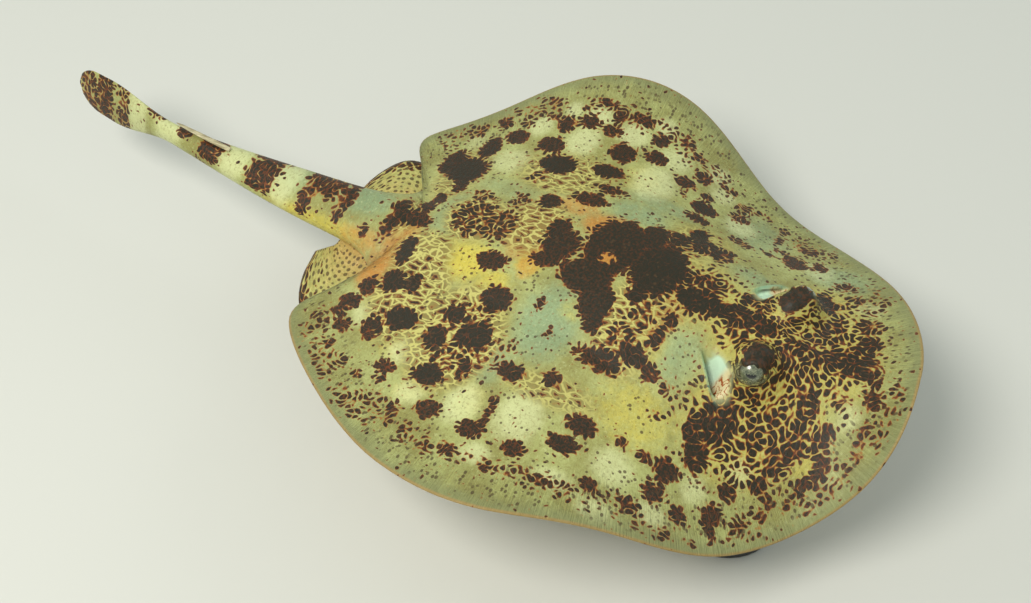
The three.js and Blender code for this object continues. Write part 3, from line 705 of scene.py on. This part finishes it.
def skin_object():
    parts, uv_plan = build_skin()
    points = np.concatenate(parts.points)
    rings = [clean(ring) for ring in parts.faces]
    kept = [(ring, island) for ring, island in zip(rings, parts.islands) if ring]
    used = np.unique([v for ring, _ in kept for v in ring])
    renumber = np.full(len(points), -1)
    renumber[used] = np.arange(len(used))
    faces = [[int(renumber[v]) for v in ring] for ring, _ in kept]
    skin = mesh_object("ray_skin", points[used], faces)
    mesh = skin.data
    for name, chunks in parts.values.items():
        keep_values(mesh, name, np.concatenate(chunks)[used])
    corner_vertex = np.array([v for ring in faces for v in ring])
    corner_island = np.array([island for ring, island in kept for _ in ring])
    plan = uv_plan[used][corner_vertex]
    uv = np.zeros((len(corner_vertex), 2), np.float32)
    for island in range(6):
        here = corner_island == island
        uv[here, 0], uv[here, 1] = uv_of(island, plan[here])
    layer = mesh.uv_layers.new(name="OFBake")
    layer.data.foreach_set("uv", uv.ravel())
    return skin


# ---- materials


def rgb(red, green, blue):
    """A colour from 0-255 display values, as linear light."""
    c = np.array([red, green, blue]) / 255
    linear = np.where(c <= 0.04045, c / 12.92, ((c + 0.055) / 1.055) ** 2.4)
    return (*[float(v) for v in linear], 1.0)


class Shader:
    """A material and short ways to add its nodes."""

    def __init__(self, name):
        self.material = bpy.data.materials.new(name)
        self.material.use_nodes = True
        self.tree = self.material.node_tree
        self.surface = self.tree.nodes["Principled BSDF"]

    def put(self, socket, value):
        if isinstance(value, bpy.types.NodeSocket):
            self.tree.links.new(value, socket)
        else:
            socket.default_value = value

    def fill(self, node, inputs):
        for name, value in inputs.items():
            self.put(node.inputs[name.replace("_", " ")], value)
        return node

    def node(self, kind, **inputs):
        return self.fill(self.tree.nodes.new("ShaderNode" + kind), inputs)

    def done(self, **inputs):
        """Fills the surface's own inputs and gives the material."""
        self.fill(self.surface, inputs)
        return self.material

    def value(self, name, output="Fac"):
        made = self.node("Attribute")
        made.attribute_name = name
        return made.outputs[output]

    def math(self, operation, a, b=0.0):
        made = self.node("Math")
        made.operation = operation
        self.put(made.inputs[0], a)
        self.put(made.inputs[1], b)
        return made.outputs[0]

    def add(self, a, b):
        return self.math("ADD", a, b)

    def sub(self, a, b):
        return self.math("SUBTRACT", a, b)

    def mul(self, a, b, *more):
        made = self.math("MULTIPLY", a, b)
        return self.mul(made, *more) if more else made

    def square(self, a):
        return self.mul(a, a)

    def abs(self, a):
        return self.math("ABSOLUTE", a)

    def max(self, a, b):
        return self.math("MAXIMUM", a, b)

    def vmath(self, operation, a, b):
        made = self.node("VectorMath")
        made.operation = operation
        self.put(made.inputs[0], a)
        self.put(made.inputs["Scale"] if operation == "SCALE" else made.inputs[1], b)
        return made.outputs["Value" if operation == "DOT_PRODUCT" else "Vector"]

    def span(self, value, low, high, to_low=0.0, to_high=1.0):
        """value taken smoothly from low..high to to_low..to_high."""
        made = self.node("MapRange")
        made.interpolation_type = "SMOOTHSTEP"
        for socket, given in zip(made.inputs, (value, low, high, to_low, to_high)):
            self.put(socket, given)
        return made.outputs[0]

    def blend(self, share, a, b, most=1.0):
        """The colour a, covered by b over a share of it, at most this much."""
        made = self.node("Mix")
        made.data_type = "RGBA"
        self.put(made.inputs[0], share if most == 1.0 else self.mul(share, most))
        self.put(made.inputs[6], a)
        self.put(made.inputs[7], b)
        return made.outputs[2]

    def mix(self, share, a, b):
        made = self.node("Mix")
        self.put(made.inputs[0], share)
        self.put(made.inputs[2], a)
        self.put(made.inputs[3], b)
        return made.outputs[0]

    def noise(self, vector, scale, detail=2.0, rough=0.5, output="Fac"):
        made = self.node("TexNoise", Vector=vector, Scale=scale, Detail=detail, Roughness=rough)
        return made.outputs[output]

    def sway(self, *noise):
        """Noise about nought."""
        return self.sub(self.noise(*noise), 0.5)

    def shifted(self, spot, amount, *noise):
        """A spot that noise pushes about."""
        push = self.noise(spot, *noise, output="Color")
        push = self.vmath("SUBTRACT", push, (0.5, 0.5, 0.5))
        return self.vmath("ADD", spot, self.vmath("SCALE", push, amount))

    def cells(self, vector, scale, feature="F1", randomness=1.0):
        """How far it is to a cell's middle or, by its feature, to a cell's edge."""
        made = self.node("TexVoronoi")
        made.feature = feature
        self.fill(made, dict(Vector=vector, Scale=scale, Randomness=randomness))
        return made.outputs["Distance"]

    def waves(self, vector, length, count=9):
        """Waves of one length in many directions: a maze of stripes and spots, mostly -2 to 2."""
        random = np.random.default_rng(11)
        total = 0.0
        for k in range(count):
            turn = np.pi * (k + random.uniform(-0.3, 0.3)) / count
            pace = 2 * np.pi / length * random.uniform(0.88, 1.12)
            step = pace * np.array([np.cos(turn), np.sin(turn), random.choice([-1, 1]) * np.cos(turn)])
            along = self.vmath("DOT_PRODUCT", vector, step.tolist())
            total = self.add(self.math("SINE", self.add(along, random.uniform(0, 6.28))), total)
        return self.mul(total, (2 / count) ** 0.5)

    def bump(self, height, distance, strength=1.0, **normal):
        made = self.node("Bump", Height=height, Distance=distance, Strength=strength, **normal)
        return made.outputs["Normal"]


CREAM = rgb(170, 174, 108)
WARM_TAN = rgb(143, 140, 78)
GREEN_TAN = rgb(134, 138, 92)
PALE_SPOT = rgb(212, 216, 160)
TEAL_GREY = rgb(130, 158, 124)
BRIGHT_YELLOW = rgb(212, 194, 74)
NET_YELLOW = rgb(190, 178, 88)
NET_LINE = rgb(212, 206, 120)
NET_BROWN = rgb(128, 114, 62)
BURNT_ORANGE = rgb(194, 126, 46)
FRECKLE = rgb(122, 104, 62)
STREAK = rgb(108, 104, 70)
HALO = rgb(164, 104, 40)
DARK_BROWN = rgb(36, 34, 20)
RED_BROWN = rgb(112, 56, 22)
DOT_BROWN = rgb(74, 54, 32)
BELLY = rgb(226, 218, 194)
BELLY_TAN = rgb(210, 194, 158)
BELLY_EDGE = rgb(182, 166, 122)
BELLY_STAIN = rgb(134, 112, 78)
BELLY_SLIT_SHADE = rgb(92, 62, 50)
PIT_CYAN = rgb(200, 226, 198)
PIT_CREAM = rgb(218, 204, 158)
PIT_ORANGE = rgb(160, 84, 36)
PIT_SLIT_SHADE = rgb(30, 26, 18)
RIM_HIGHLIGHT_CYAN = rgb(146, 204, 174)
RIM_HIGHLIGHT_PALE = rgb(196, 196, 140)
LID_GREY = rgb(128, 128, 92)
EDGE_ORANGE = rgb(172, 132, 76)
# Painted shade: dark lines in the folds under each eye, as (place, half width), 1 at the lids' edge.
LID_FOLD_SHADE_LINES = ((1.07, 0.05), (1.22, 0.04), (1.38, 0.035), (1.56, 0.035), (1.76, 0.03))


def skin_ground(m, plan, bent):
    """The ground colour: cream, with pale, grey-green, yellow and orange areas."""
    slow = m.noise(plan, 0.05, 4.0, 0.6)
    ground = m.blend(m.span(slow, 0.35, 0.65), CREAM, WARM_TAN)
    rough_edge = m.mul(m.sway(plan, 0.3, 4.0, 0.65), 0.9)
    areas = (
        ("teal", TEAL_GREY, 0.7), ("yellow", BRIGHT_YELLOW, 0.85), ("net", NET_YELLOW, 0.85),
        ("orange", BURNT_ORANGE, 0.85), ("pale", PALE_SPOT, 0.68),
    )
    for name, colour, most in areas:
        share = m.add(m.value(name), rough_edge)
        ground = m.blend(m.span(share, 0.1, 1.1, 0.0, most), ground, colour)
    freckle = m.noise(bent, 0.9, 5.0, 0.7)
    ground = m.blend(m.span(freckle, 0.5, 0.72, 0.0, 0.7), ground, FRECKLE)
    return m.blend(m.span(freckle, 0.46, 0.3, 0.0, 0.35), ground, PALE_SPOT)


def skin_margin(m, plan, ground, only_disc):
    """The disc's border: greenish tan, crossed by fine rays, with a warm line at its edge."""
    inward = m.value("inward")
    wander = m.mul(m.noise(plan, 0.12, 3.0), 10.0)
    band = m.mul(m.span(m.add(inward, wander), 15.0, 6.0), only_disc)
    ground = m.blend(band, ground, GREEN_TAN, 0.8)
    rays = m.node("CombineXYZ", X=m.mul(m.value("ray"), 520.0), Y=m.mul(inward, 0.07))
    streak = m.span(m.noise(rays.outputs[0], 1.0, 3.0, 0.6), 0.4, 0.65)
    streak = m.mul(streak, m.mul(m.span(inward, 34.0, 4.0), only_disc))
    ground = m.blend(streak, ground, STREAK, 0.14)
    line = m.mul(m.span(inward, 1.3, 0.3), only_disc)
    return m.blend(line, ground, EDGE_ORANGE, 0.6), streak


def skin_cells(m, plan):
    """The dark markings, as five values.

    They are how far a spot lies inside them, 0 at their edge; how much of it they cover; the
    net's pale lines; the net's share; and the red-brown seams between a blotch's cells.
    The lines where waves of one length are nought make a maze. Raised, it closes to a blotch
    with scalloped edges. Lowered, it breaks up into dots. Behind the head it is a net of cells.
    """
    dark, net, behind_head = m.value("dark"), m.value("net"), m.value("netted")
    ragged = m.sway(plan, 0.2, 3.0, 0.6)
    level = m.add(dark, m.mul(ragged, m.span(dark, 0.05, 0.5, 0.0, 0.5)))
    blotch = m.sub(m.mul(level, 6.5), 4.0)
    blotch = m.sub(blotch, m.mul(net, m.sub(1.0, behind_head), 1.1))
    wandered = m.shifted(plan, 4.0, 0.16)
    waves = m.waves(wandered, 4.1)
    maze = m.sub(m.mul(m.abs(waves), 2.0), 1.0)
    maze = m.add(maze, m.mul(m.sway(plan, 0.36, 1.0), 4.5))
    blotch = m.add(blotch, maze)

    crowd = m.add(m.mul(m.sway(plan, 0.1, 3.0, 0.6), 2.4), 3.25)
    crowd = m.sub(m.mul(net, crowd), 3.6)
    long = m.vmath("MULTIPLY", wandered, (1.0, 0.55, 1.0))
    edge = m.cells(long, 0.36, "DISTANCE_TO_EDGE")
    walls = m.mul(m.sub(edge, 0.1), 9.0)
    inside = m.max(blotch, m.add(m.mix(behind_head, maze, walls), crowd))

    netted = m.mul(behind_head, m.span(net, 0.25, 0.6))
    lines = m.mul(m.span(edge, 0.11, 0.045), netted, m.span(blotch, 0.2, -0.6))
    seams = m.span(m.abs(waves), 0.2, 0.06, 0.0, 0.6)
    seams = m.mul(seams, m.span(dark, 1.05, 0.85, 0.2, 1.0))
    return inside, m.span(inside, -0.14, 0.14), lines, netted, seams


def skin_dots(m, plan, only_disc):
    """Small dots and flecks outside the blotches, and the rows of dots on the pelvic fins."""
    inward = m.value("inward")
    top = m.sub(1.0, m.value("under"))
    chosen = m.span(m.noise(plan, 0.09), 0.4, 0.6, 0.0, 0.27)
    dots = m.span(m.sub(chosen, m.cells(plan, 0.42)), -0.04, 0.04)
    dots = m.mul(dots, m.span(inward, 3.0, 12.0))
    along = m.node("CombineXYZ", X=m.mul(m.value("ray"), 150.0), Y=m.mul(inward, 0.3))
    fleck = m.span(m.cells(along.outputs[0], 1.0), 0.34, 0.22)
    zone = m.mul(m.span(inward, 1.5, 5.0), m.span(inward, 28.0, 14.0))
    zone = m.mul(zone, m.span(m.noise(plan, 0.13, 1.0), 0.3, 0.5))
    small = m.mul(m.max(dots, m.mul(fleck, zone)), m.mul(top, only_disc))
    row = m.cells(plan, 0.36, randomness=0.35)
    rows = m.mul(m.span(row, 0.38, 0.26), m.mul(m.value("fin"), top))
    return m.max(small, rows)


def belly_slit_shade(m, plan):
    """Painted shade: dark lines in the mouth, the nostrils and the gill slits."""
    x, s, _ = m.node("SeparateXYZ", Vector=plan).outputs
    y = m.add(s, m.mul(x, float(np.tan(np.radians(HEAD_TURN)))))
    far = m.abs(x)
    bow = m.add(m.sub(y, MOUTH["s"]), m.mul(m.square(far), MOUTH["bow"]))
    mouth = m.mul(m.span(m.abs(bow), 0.9, 0.3), m.span(far, MOUTH["half"], MOUTH["half"] - 2.0))
    wide = m.mul(m.sub(far, NOSTRIL["x"]), 0.5)
    nostril = m.add(m.square(wide), m.square(m.sub(y, NOSTRIL["s"])))
    nostril = m.span(nostril, 1.3, 0.5)
    row = m.sub(y, GILLS["s"])
    half_way = GILLS["step"] * (GILLS["count"] - 1) / 2
    slope = (GILLS["x"][1] - GILLS["x"][0]) / (2 * half_way)
    along = m.sub(far, m.add(m.mul(row, slope), GILLS["x"][0]))
    bent_row = m.sub(row, m.mul(m.square(along), GILLS["bow"]))
    across = m.math("PINGPONG", bent_row, GILLS["step"] / 2)
    gill = m.mul(m.span(across, 0.7, 0.25), m.span(m.abs(along), 4.2, 3.0))
    off = m.abs(m.sub(row, half_way))
    gill = m.mul(gill, m.span(off, half_way + 3.0, half_way + 2.0))
    return m.max(gill, m.max(mouth, nostril))


def skin_belly(m, plan):
    """Cream, tan and stained towards the margin, with painted shade as dark lines in the slits."""
    inward = m.value("inward")
    colour = m.blend(m.span(m.noise(plan, 0.06, 3.0), 0.4, 0.7, 0.0, 0.5), BELLY, BELLY_TAN)
    colour = m.blend(m.span(inward, 26.0, 4.0, 0.0, 0.6), colour, BELLY_EDGE)
    stain = m.mul(m.span(m.noise(plan, 0.12), 0.5, 0.62), m.span(inward, 22.0, 6.0))
    colour = m.blend(stain, colour, BELLY_STAIN, 0.5)
    # Painted shade in the mouth, nostrils and gill slits.
    return m.blend(belly_slit_shade(m, plan), colour, BELLY_SLIT_SHADE, 0.85)


def skin_lids(m, colour):
    """Round each eye: grey-green lids, and painted shade as thin dark lines in the folds under the eye.
    """
    lid = m.value("lid")
    low = m.span(m.value("cap"), 0.5, 0.1)
    colour = m.blend(m.mul(m.span(lid, 1.7, 1.2, 0.0, 0.75), low), colour, LID_GREY)
    # Painted shade in the folds of the lids.
    for out, wide in LID_FOLD_SHADE_LINES:
        line = m.mul(m.span(m.abs(m.sub(lid, out)), wide, wide / 3), low)
        colour = m.blend(line, colour, DARK_BROWN, 0.8)
    return colour


def skin_spiracles(m, bent, colour):
    """Pale blue-green inside, orange squiggles outward, painted shade as a dark slit, and a painted
    highlight on the rim that turns cyan on the rear lip.
    """
    along, across, pit = m.value("pit_along"), m.value("pit_across"), m.value("pit")
    # Painted highlight: the rim round the pit is painted pale, turning cyan on the rear lip.
    rim = m.mul(m.value("rim"), m.sub(1.0, pit))
    colour = m.blend(rim, colour, m.blend(m.span(across, 0.5, 1.0), RIM_HIGHLIGHT_PALE, RIM_HIGHLIGHT_CYAN), 0.6)
    wall = m.blend(m.span(along, -0.2, 0.25), PIT_CYAN, PIT_CREAM)
    twist = m.abs(m.waves(bent, 3.6, 5))
    squiggle = m.mul(m.span(twist, 0.5, 0.25), m.span(along, -0.05, 0.2))
    wall = m.blend(squiggle, wall, PIT_ORANGE)
    # Painted shade: a dark slit along the rear of each pit, narrower on the left spiracle.
    shut = m.span(m.value("left"), -0.1, 0.1)
    slit = m.span(m.sub(across, m.mul(shut, 0.25)), 0.5, 0.66)
    slit = m.mul(slit, m.span(across, 0.98, 0.86), m.span(m.abs(along), 1.0, 0.8))
    return m.blend(pit, colour, m.blend(slit, wall, PIT_SLIT_SHADE))


def skin_material():
    m = Shader("ray_skin_material")
    plan = m.value("plan", "Vector")
    bent = m.shifted(plan, 4.2, 0.32, 3.0, 0.6)
    dark = m.value("dark")
    only_disc = m.sub(1.0, m.max(m.value("tail"), m.value("fin")))

    colour = skin_ground(m, plan, bent)
    colour, streak = skin_margin(m, plan, colour, only_disc)
    inside, cells, lines, netted, seams = skin_cells(m, plan)
    small = m.mul(skin_dots(m, plan, only_disc), m.sub(1.0, m.value("pit")))
    colour = m.blend(netted, colour, NET_BROWN, 0.85)
    halo = m.mul(m.span(inside, -0.9, 0.0), m.span(dark, 0.1, 0.5, 0.35, 0.85))
    colour = m.blend(halo, colour, HALO)
    ink = m.blend(m.span(inside, 0.1, 1.0), RED_BROWN, DARK_BROWN)
    grain = m.noise(plan, 0.9, 3.0)
    specks = m.mul(m.span(grain, 0.45, 0.65), m.span(dark, 0.8, 1.0, 0.6, 0.3))
    specks = m.mul(specks, m.span(m.value("net"), 0.2, 0.7, 1.0, 0.3))
    ink = m.blend(m.max(specks, seams), ink, RED_BROWN)
    colour = m.blend(cells, colour, ink)
    colour = m.blend(lines, colour, NET_LINE, 0.72)
    colour = m.blend(small, colour, DOT_BROWN, 0.8)

    colour = skin_lids(m, colour)
    colour = skin_spiracles(m, bent, colour)
    colour = m.blend(m.value("under"), colour, skin_belly(m, plan))

    normal = m.bump(m.noise(plan, 2.6, 4.0, 0.6), 0.00016)
    normal = m.bump(m.noise(plan, 0.5, 3.0, 0.55), 0.0005, 0.8, Normal=normal)
    normal = m.bump(streak, 0.00022, 0.9, Normal=normal)
    return m.done(
        Base_Color=colour, Roughness=m.span(grain, 0.3, 0.7, 0.4, 0.58), Normal=normal,
        Specular_IOR_Level=0.3, Coat_Weight=0.06, Coat_Roughness=0.28,
    )


# ---- eyes


def eyeball(side):
    """A ball. Each of its vertices keeps its place in a frame that faces along the look."""
    shape = bmesh.new()
    bmesh.ops.create_uvsphere(shape, u_segments=64, v_segments=40, radius=1.0)
    own = np.array([v.co[:] for v in shape.verts])
    centre = Vector(eye_centre(side) / 1000)
    turn = LOOK[side].to_track_quat("Z", "Y")
    reach = EYE["r"] / 1000
    for v in shape.verts:
        v.co = centre + (turn @ v.co) * reach
    mesh = bpy.data.meshes.new("ray_eye")
    shape.to_mesh(mesh)
    shape.free()
    mesh.shade_smooth()
    keep_values(mesh, "eye_plan", own)
    return add_object("ray_eye_left" if side > 0 else "ray_eye_right", mesh)


def eye_material():
    """A mottled grey-green iris, a dark pupil under a scalloped flap, and a clear gloss."""
    m = Shader("ray_eye_material")
    own = m.value("eye_plan", "Vector")
    x, y, _ = m.node("SeparateXYZ", Vector=own).outputs
    far = m.math("SQRT", m.add(m.square(x), m.square(y)))
    mottle = m.noise(own, 5.0, 4.0, 0.65)
    iris = m.blend(m.span(mottle, 0.38, 0.62), rgb(84, 92, 72), rgb(128, 132, 104))
    veins = m.cells(own, 7.0, "DISTANCE_TO_EDGE")
    iris = m.blend(m.span(veins, 0.07, 0.02, 0.0, 0.6), iris, rgb(60, 62, 48))
    iris = m.blend(m.span(far, 0.62, 0.8), iris, rgb(52, 44, 30))
    pupil_far = m.math("SQRT", m.add(m.square(m.mul(x, 0.75)), m.square(y)))
    scallop = m.mul(m.math("SINE", m.mul(x, 34.0)), 0.03)
    flap_edge = m.sub(m.sub(y, scallop), 0.02)
    pupil = m.mul(m.span(pupil_far, 0.27, 0.23), m.span(flap_edge, 0.03, -0.03))
    return m.done(
        Base_Color=m.blend(pupil, iris, rgb(8, 8, 8)), Normal=m.bump(mottle, 0.00008),
        Roughness=m.span(mottle, 0.3, 0.7, 0.2, 0.32), Coat_Weight=1.0, Coat_Roughness=0.04,
    )


# ---- sting


def sting_object():
    """A flat blade with a groove on its back and small barbs that point forward."""
    points = np.zeros((SPINE_ROWS, SPINE_AROUND, 3))
    bed = tail_high(tail_share(SPINE["start"])) + SPINE["lift"]
    turn = np.linspace(0, 2 * np.pi, SPINE_AROUND, endpoint=False)
    groove = GROOVE * hump(np.cos(turn), 0, 0.25) * (np.sin(turn) > 0)
    for k, t in enumerate(np.linspace(0, 1, SPINE_ROWS)):
        s = np.full(SPINE_AROUND, mix(SPINE["start"], SPINE["end"], t))
        barb = BARB * (1 - (k * BARBS_PER_ROW) % 1.0) * ease(0.12, 0.3, t) * (1 - ease(0.93, 1.0, t))
        half = SPINE["wide"] / 2 * (0.8 + 0.3 * t) * np.sqrt(1 - TIP_SHARP * t * t) * (0.9 + barb)
        thick = SPINE["thick"] * (1 - 0.8 * t)
        z = bed + SPINE["rise"] * t + thick * (0.5 + (0.5 - groove) * np.sin(turn))
        points[k] = place(half * np.cos(turn), s, z, tail_share(s))
    faces = []
    for k in range(SPINE_ROWS - 1):
        for j in range(SPINE_AROUND):
            a, b = k * SPINE_AROUND + j, k * SPINE_AROUND + (j + 1) % SPINE_AROUND
            faces.append([a, b, b + SPINE_AROUND, a + SPINE_AROUND])
    root = list(range(SPINE_AROUND))
    faces.append(root[::-1])
    faces.append([(SPINE_ROWS - 1) * SPINE_AROUND + j for j in root])
    return mesh_object("ray_sting", points.reshape(-1, 3), faces)


def sting_material():
    m = Shader("ray_sting_material")
    spot = m.node("TexCoord").outputs["Object"]
    streak = m.noise(m.vmath("MULTIPLY", spot, (900.0, 120.0, 900.0)), 1.0, 4.0, 0.6)
    return m.done(
        Base_Color=m.blend(m.span(streak, 0.35, 0.65), rgb(150, 138, 104), rgb(206, 196, 158)),
        Roughness=m.span(streak, 0.3, 0.7, 0.35, 0.5), Normal=m.bump(streak, 0.0001),
    )


# ---- stand, floor, light, camera


def plate_material():
    """Satin black powder coat: a fine orange peel, with faint wear in its gloss."""
    m = Shader("stand_plate_material")
    spot = m.node("TexCoord").outputs["Object"]
    cloud = m.noise(spot, 22.0, 4.0, 0.6)
    return m.done(
        Base_Color=m.blend(m.span(cloud, 0.3, 0.7), rgb(33, 34, 36), rgb(43, 44, 46)),
        Roughness=m.span(cloud, 0.3, 0.7, 0.42, 0.54),
        Normal=m.bump(m.noise(spot, 1100.0, 3.0, 0.55), 0.00012),
    )


def rod_material():
    """Satin steel with a faint grain round the rod."""
    m = Shader("stand_rod_material")
    spot = m.node("TexCoord").outputs["Object"]
    rings = m.noise(m.vmath("MULTIPLY", spot, (90.0, 90.0, 1400.0)), 1.0)
    return m.done(
        Base_Color=m.blend(m.span(rings, 0.3, 0.7), rgb(164, 166, 168), rgb(176, 178, 180)),
        Roughness=m.span(rings, 0.3, 0.7, 0.3, 0.36), Normal=m.bump(rings, 0.000004), Metallic=1.0,
    )


FLOOR_HALF = 40000.0


def floor_object():
    corners = FLOOR_HALF * np.array([(-1, -1, 0), (1, -1, 0), (1, 1, 0), (-1, 1, 0)])
    floor = mesh_object("floor", corners, [[0, 1, 2, 3]])
    matt = Shader("floor_material").done(Base_Color=rgb(206, 206, 200), Roughness=0.9)
    floor.data.materials.append(matt)
    return floor


# Angles in degrees, the distance and the target in metres.
CAMERA = dict(turn=-64.6, rise=52.0, roll=0.2, distance=0.597, target=(-0.014, 0.0375, 0.056), lens=53.4)
# Each light's name, place and width in metres, power in watts and tint.
LIGHTS = (
    ("key", (-0.55, 0.25, 1.0), 0.5, 9.6, (1.0, 0.97, 0.9)),
    ("fill", (0.9, -0.7, 0.8), 0.9, 3.0, (0.9, 0.96, 1.0)),
    ("rear", (0.4, 1.2, 0.7), 0.8, 2.4, (0.95, 1.0, 0.97)),
)
LIGHTS_AIM = Vector((0, 0, 0.05))


def camera_object():
    turn, rise, roll = np.radians([CAMERA["turn"], CAMERA["rise"], CAMERA["roll"]])
    back = Vector((np.sin(turn) * np.cos(rise), -np.cos(turn) * np.cos(rise), np.sin(rise)))
    level = Vector((0, 0, 1)).cross(back).normalized()
    upright = back.cross(level)
    right = np.cos(roll) * level + np.sin(roll) * upright
    up = np.cos(roll) * upright - np.sin(roll) * level
    data = bpy.data.cameras.new("camera")
    data.sensor_fit, data.sensor_width, data.lens = "HORIZONTAL", 36.0, CAMERA["lens"]
    data.clip_start, data.clip_end = 0.01, 100.0
    camera = add_object("camera", data)
    facing = Matrix((right, up, back)).transposed()
    stood = Matrix.Translation(Vector(CAMERA["target"]) + back * CAMERA["distance"])
    camera.matrix_world = stood @ facing.to_4x4()
    bpy.context.scene.camera = camera


def studio():
    """Three soft disc lights under a pale sky."""
    for name, spot, size, power, tint in LIGHTS:
        data = bpy.data.lights.new(name, "AREA")
        data.shape, data.size, data.energy, data.color = "DISK", size, power, tint
        light = add_object(name, data)
        light.location = spot
        light.rotation_euler = (LIGHTS_AIM - Vector(spot)).to_track_quat("-Z", "Y").to_euler()
    world = bpy.data.worlds.new("studio")
    world.use_nodes = True
    sky = world.node_tree.nodes["Background"].inputs
    sky["Color"].default_value = rgb(214, 222, 216)
    sky["Strength"].default_value = 0.7
    bpy.context.scene.world = world
    bpy.context.scene.view_settings.view_transform = "Standard"
    bpy.context.scene.view_settings.look = "None"


# ---- putting the scene together
camera_object()
studio()
floor_object()

FLESH = [
    "head", "trunk", "wing_left", "wing_right", "tail_base", "tail_end", "caudal_fin",
    "pelvic_fin_left", "pelvic_fin_right",
]
skin = skin_object()
skin.data.materials.append(skin_material())
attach(skin, "root")
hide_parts(*FLESH)

iris = eye_material()
for side, node_name in ((1, "eye_left"), (-1, "eye_right")):
    eye = eyeball(side)
    eye.data.materials.append(iris)
    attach(eye, "root")
    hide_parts(node_name)

sting = sting_object()
sting.data.materials.append(sting_material())
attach(sting, "root")
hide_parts("tail_spine")

coats = {"stand_base": plate_material()}
coats["stand_rod_front"] = coats["stand_rod_rear"] = rod_material()
for name, coat in coats.items():
    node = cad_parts[name]
    node.data.materials.clear()
    node.data.materials.append(coat)
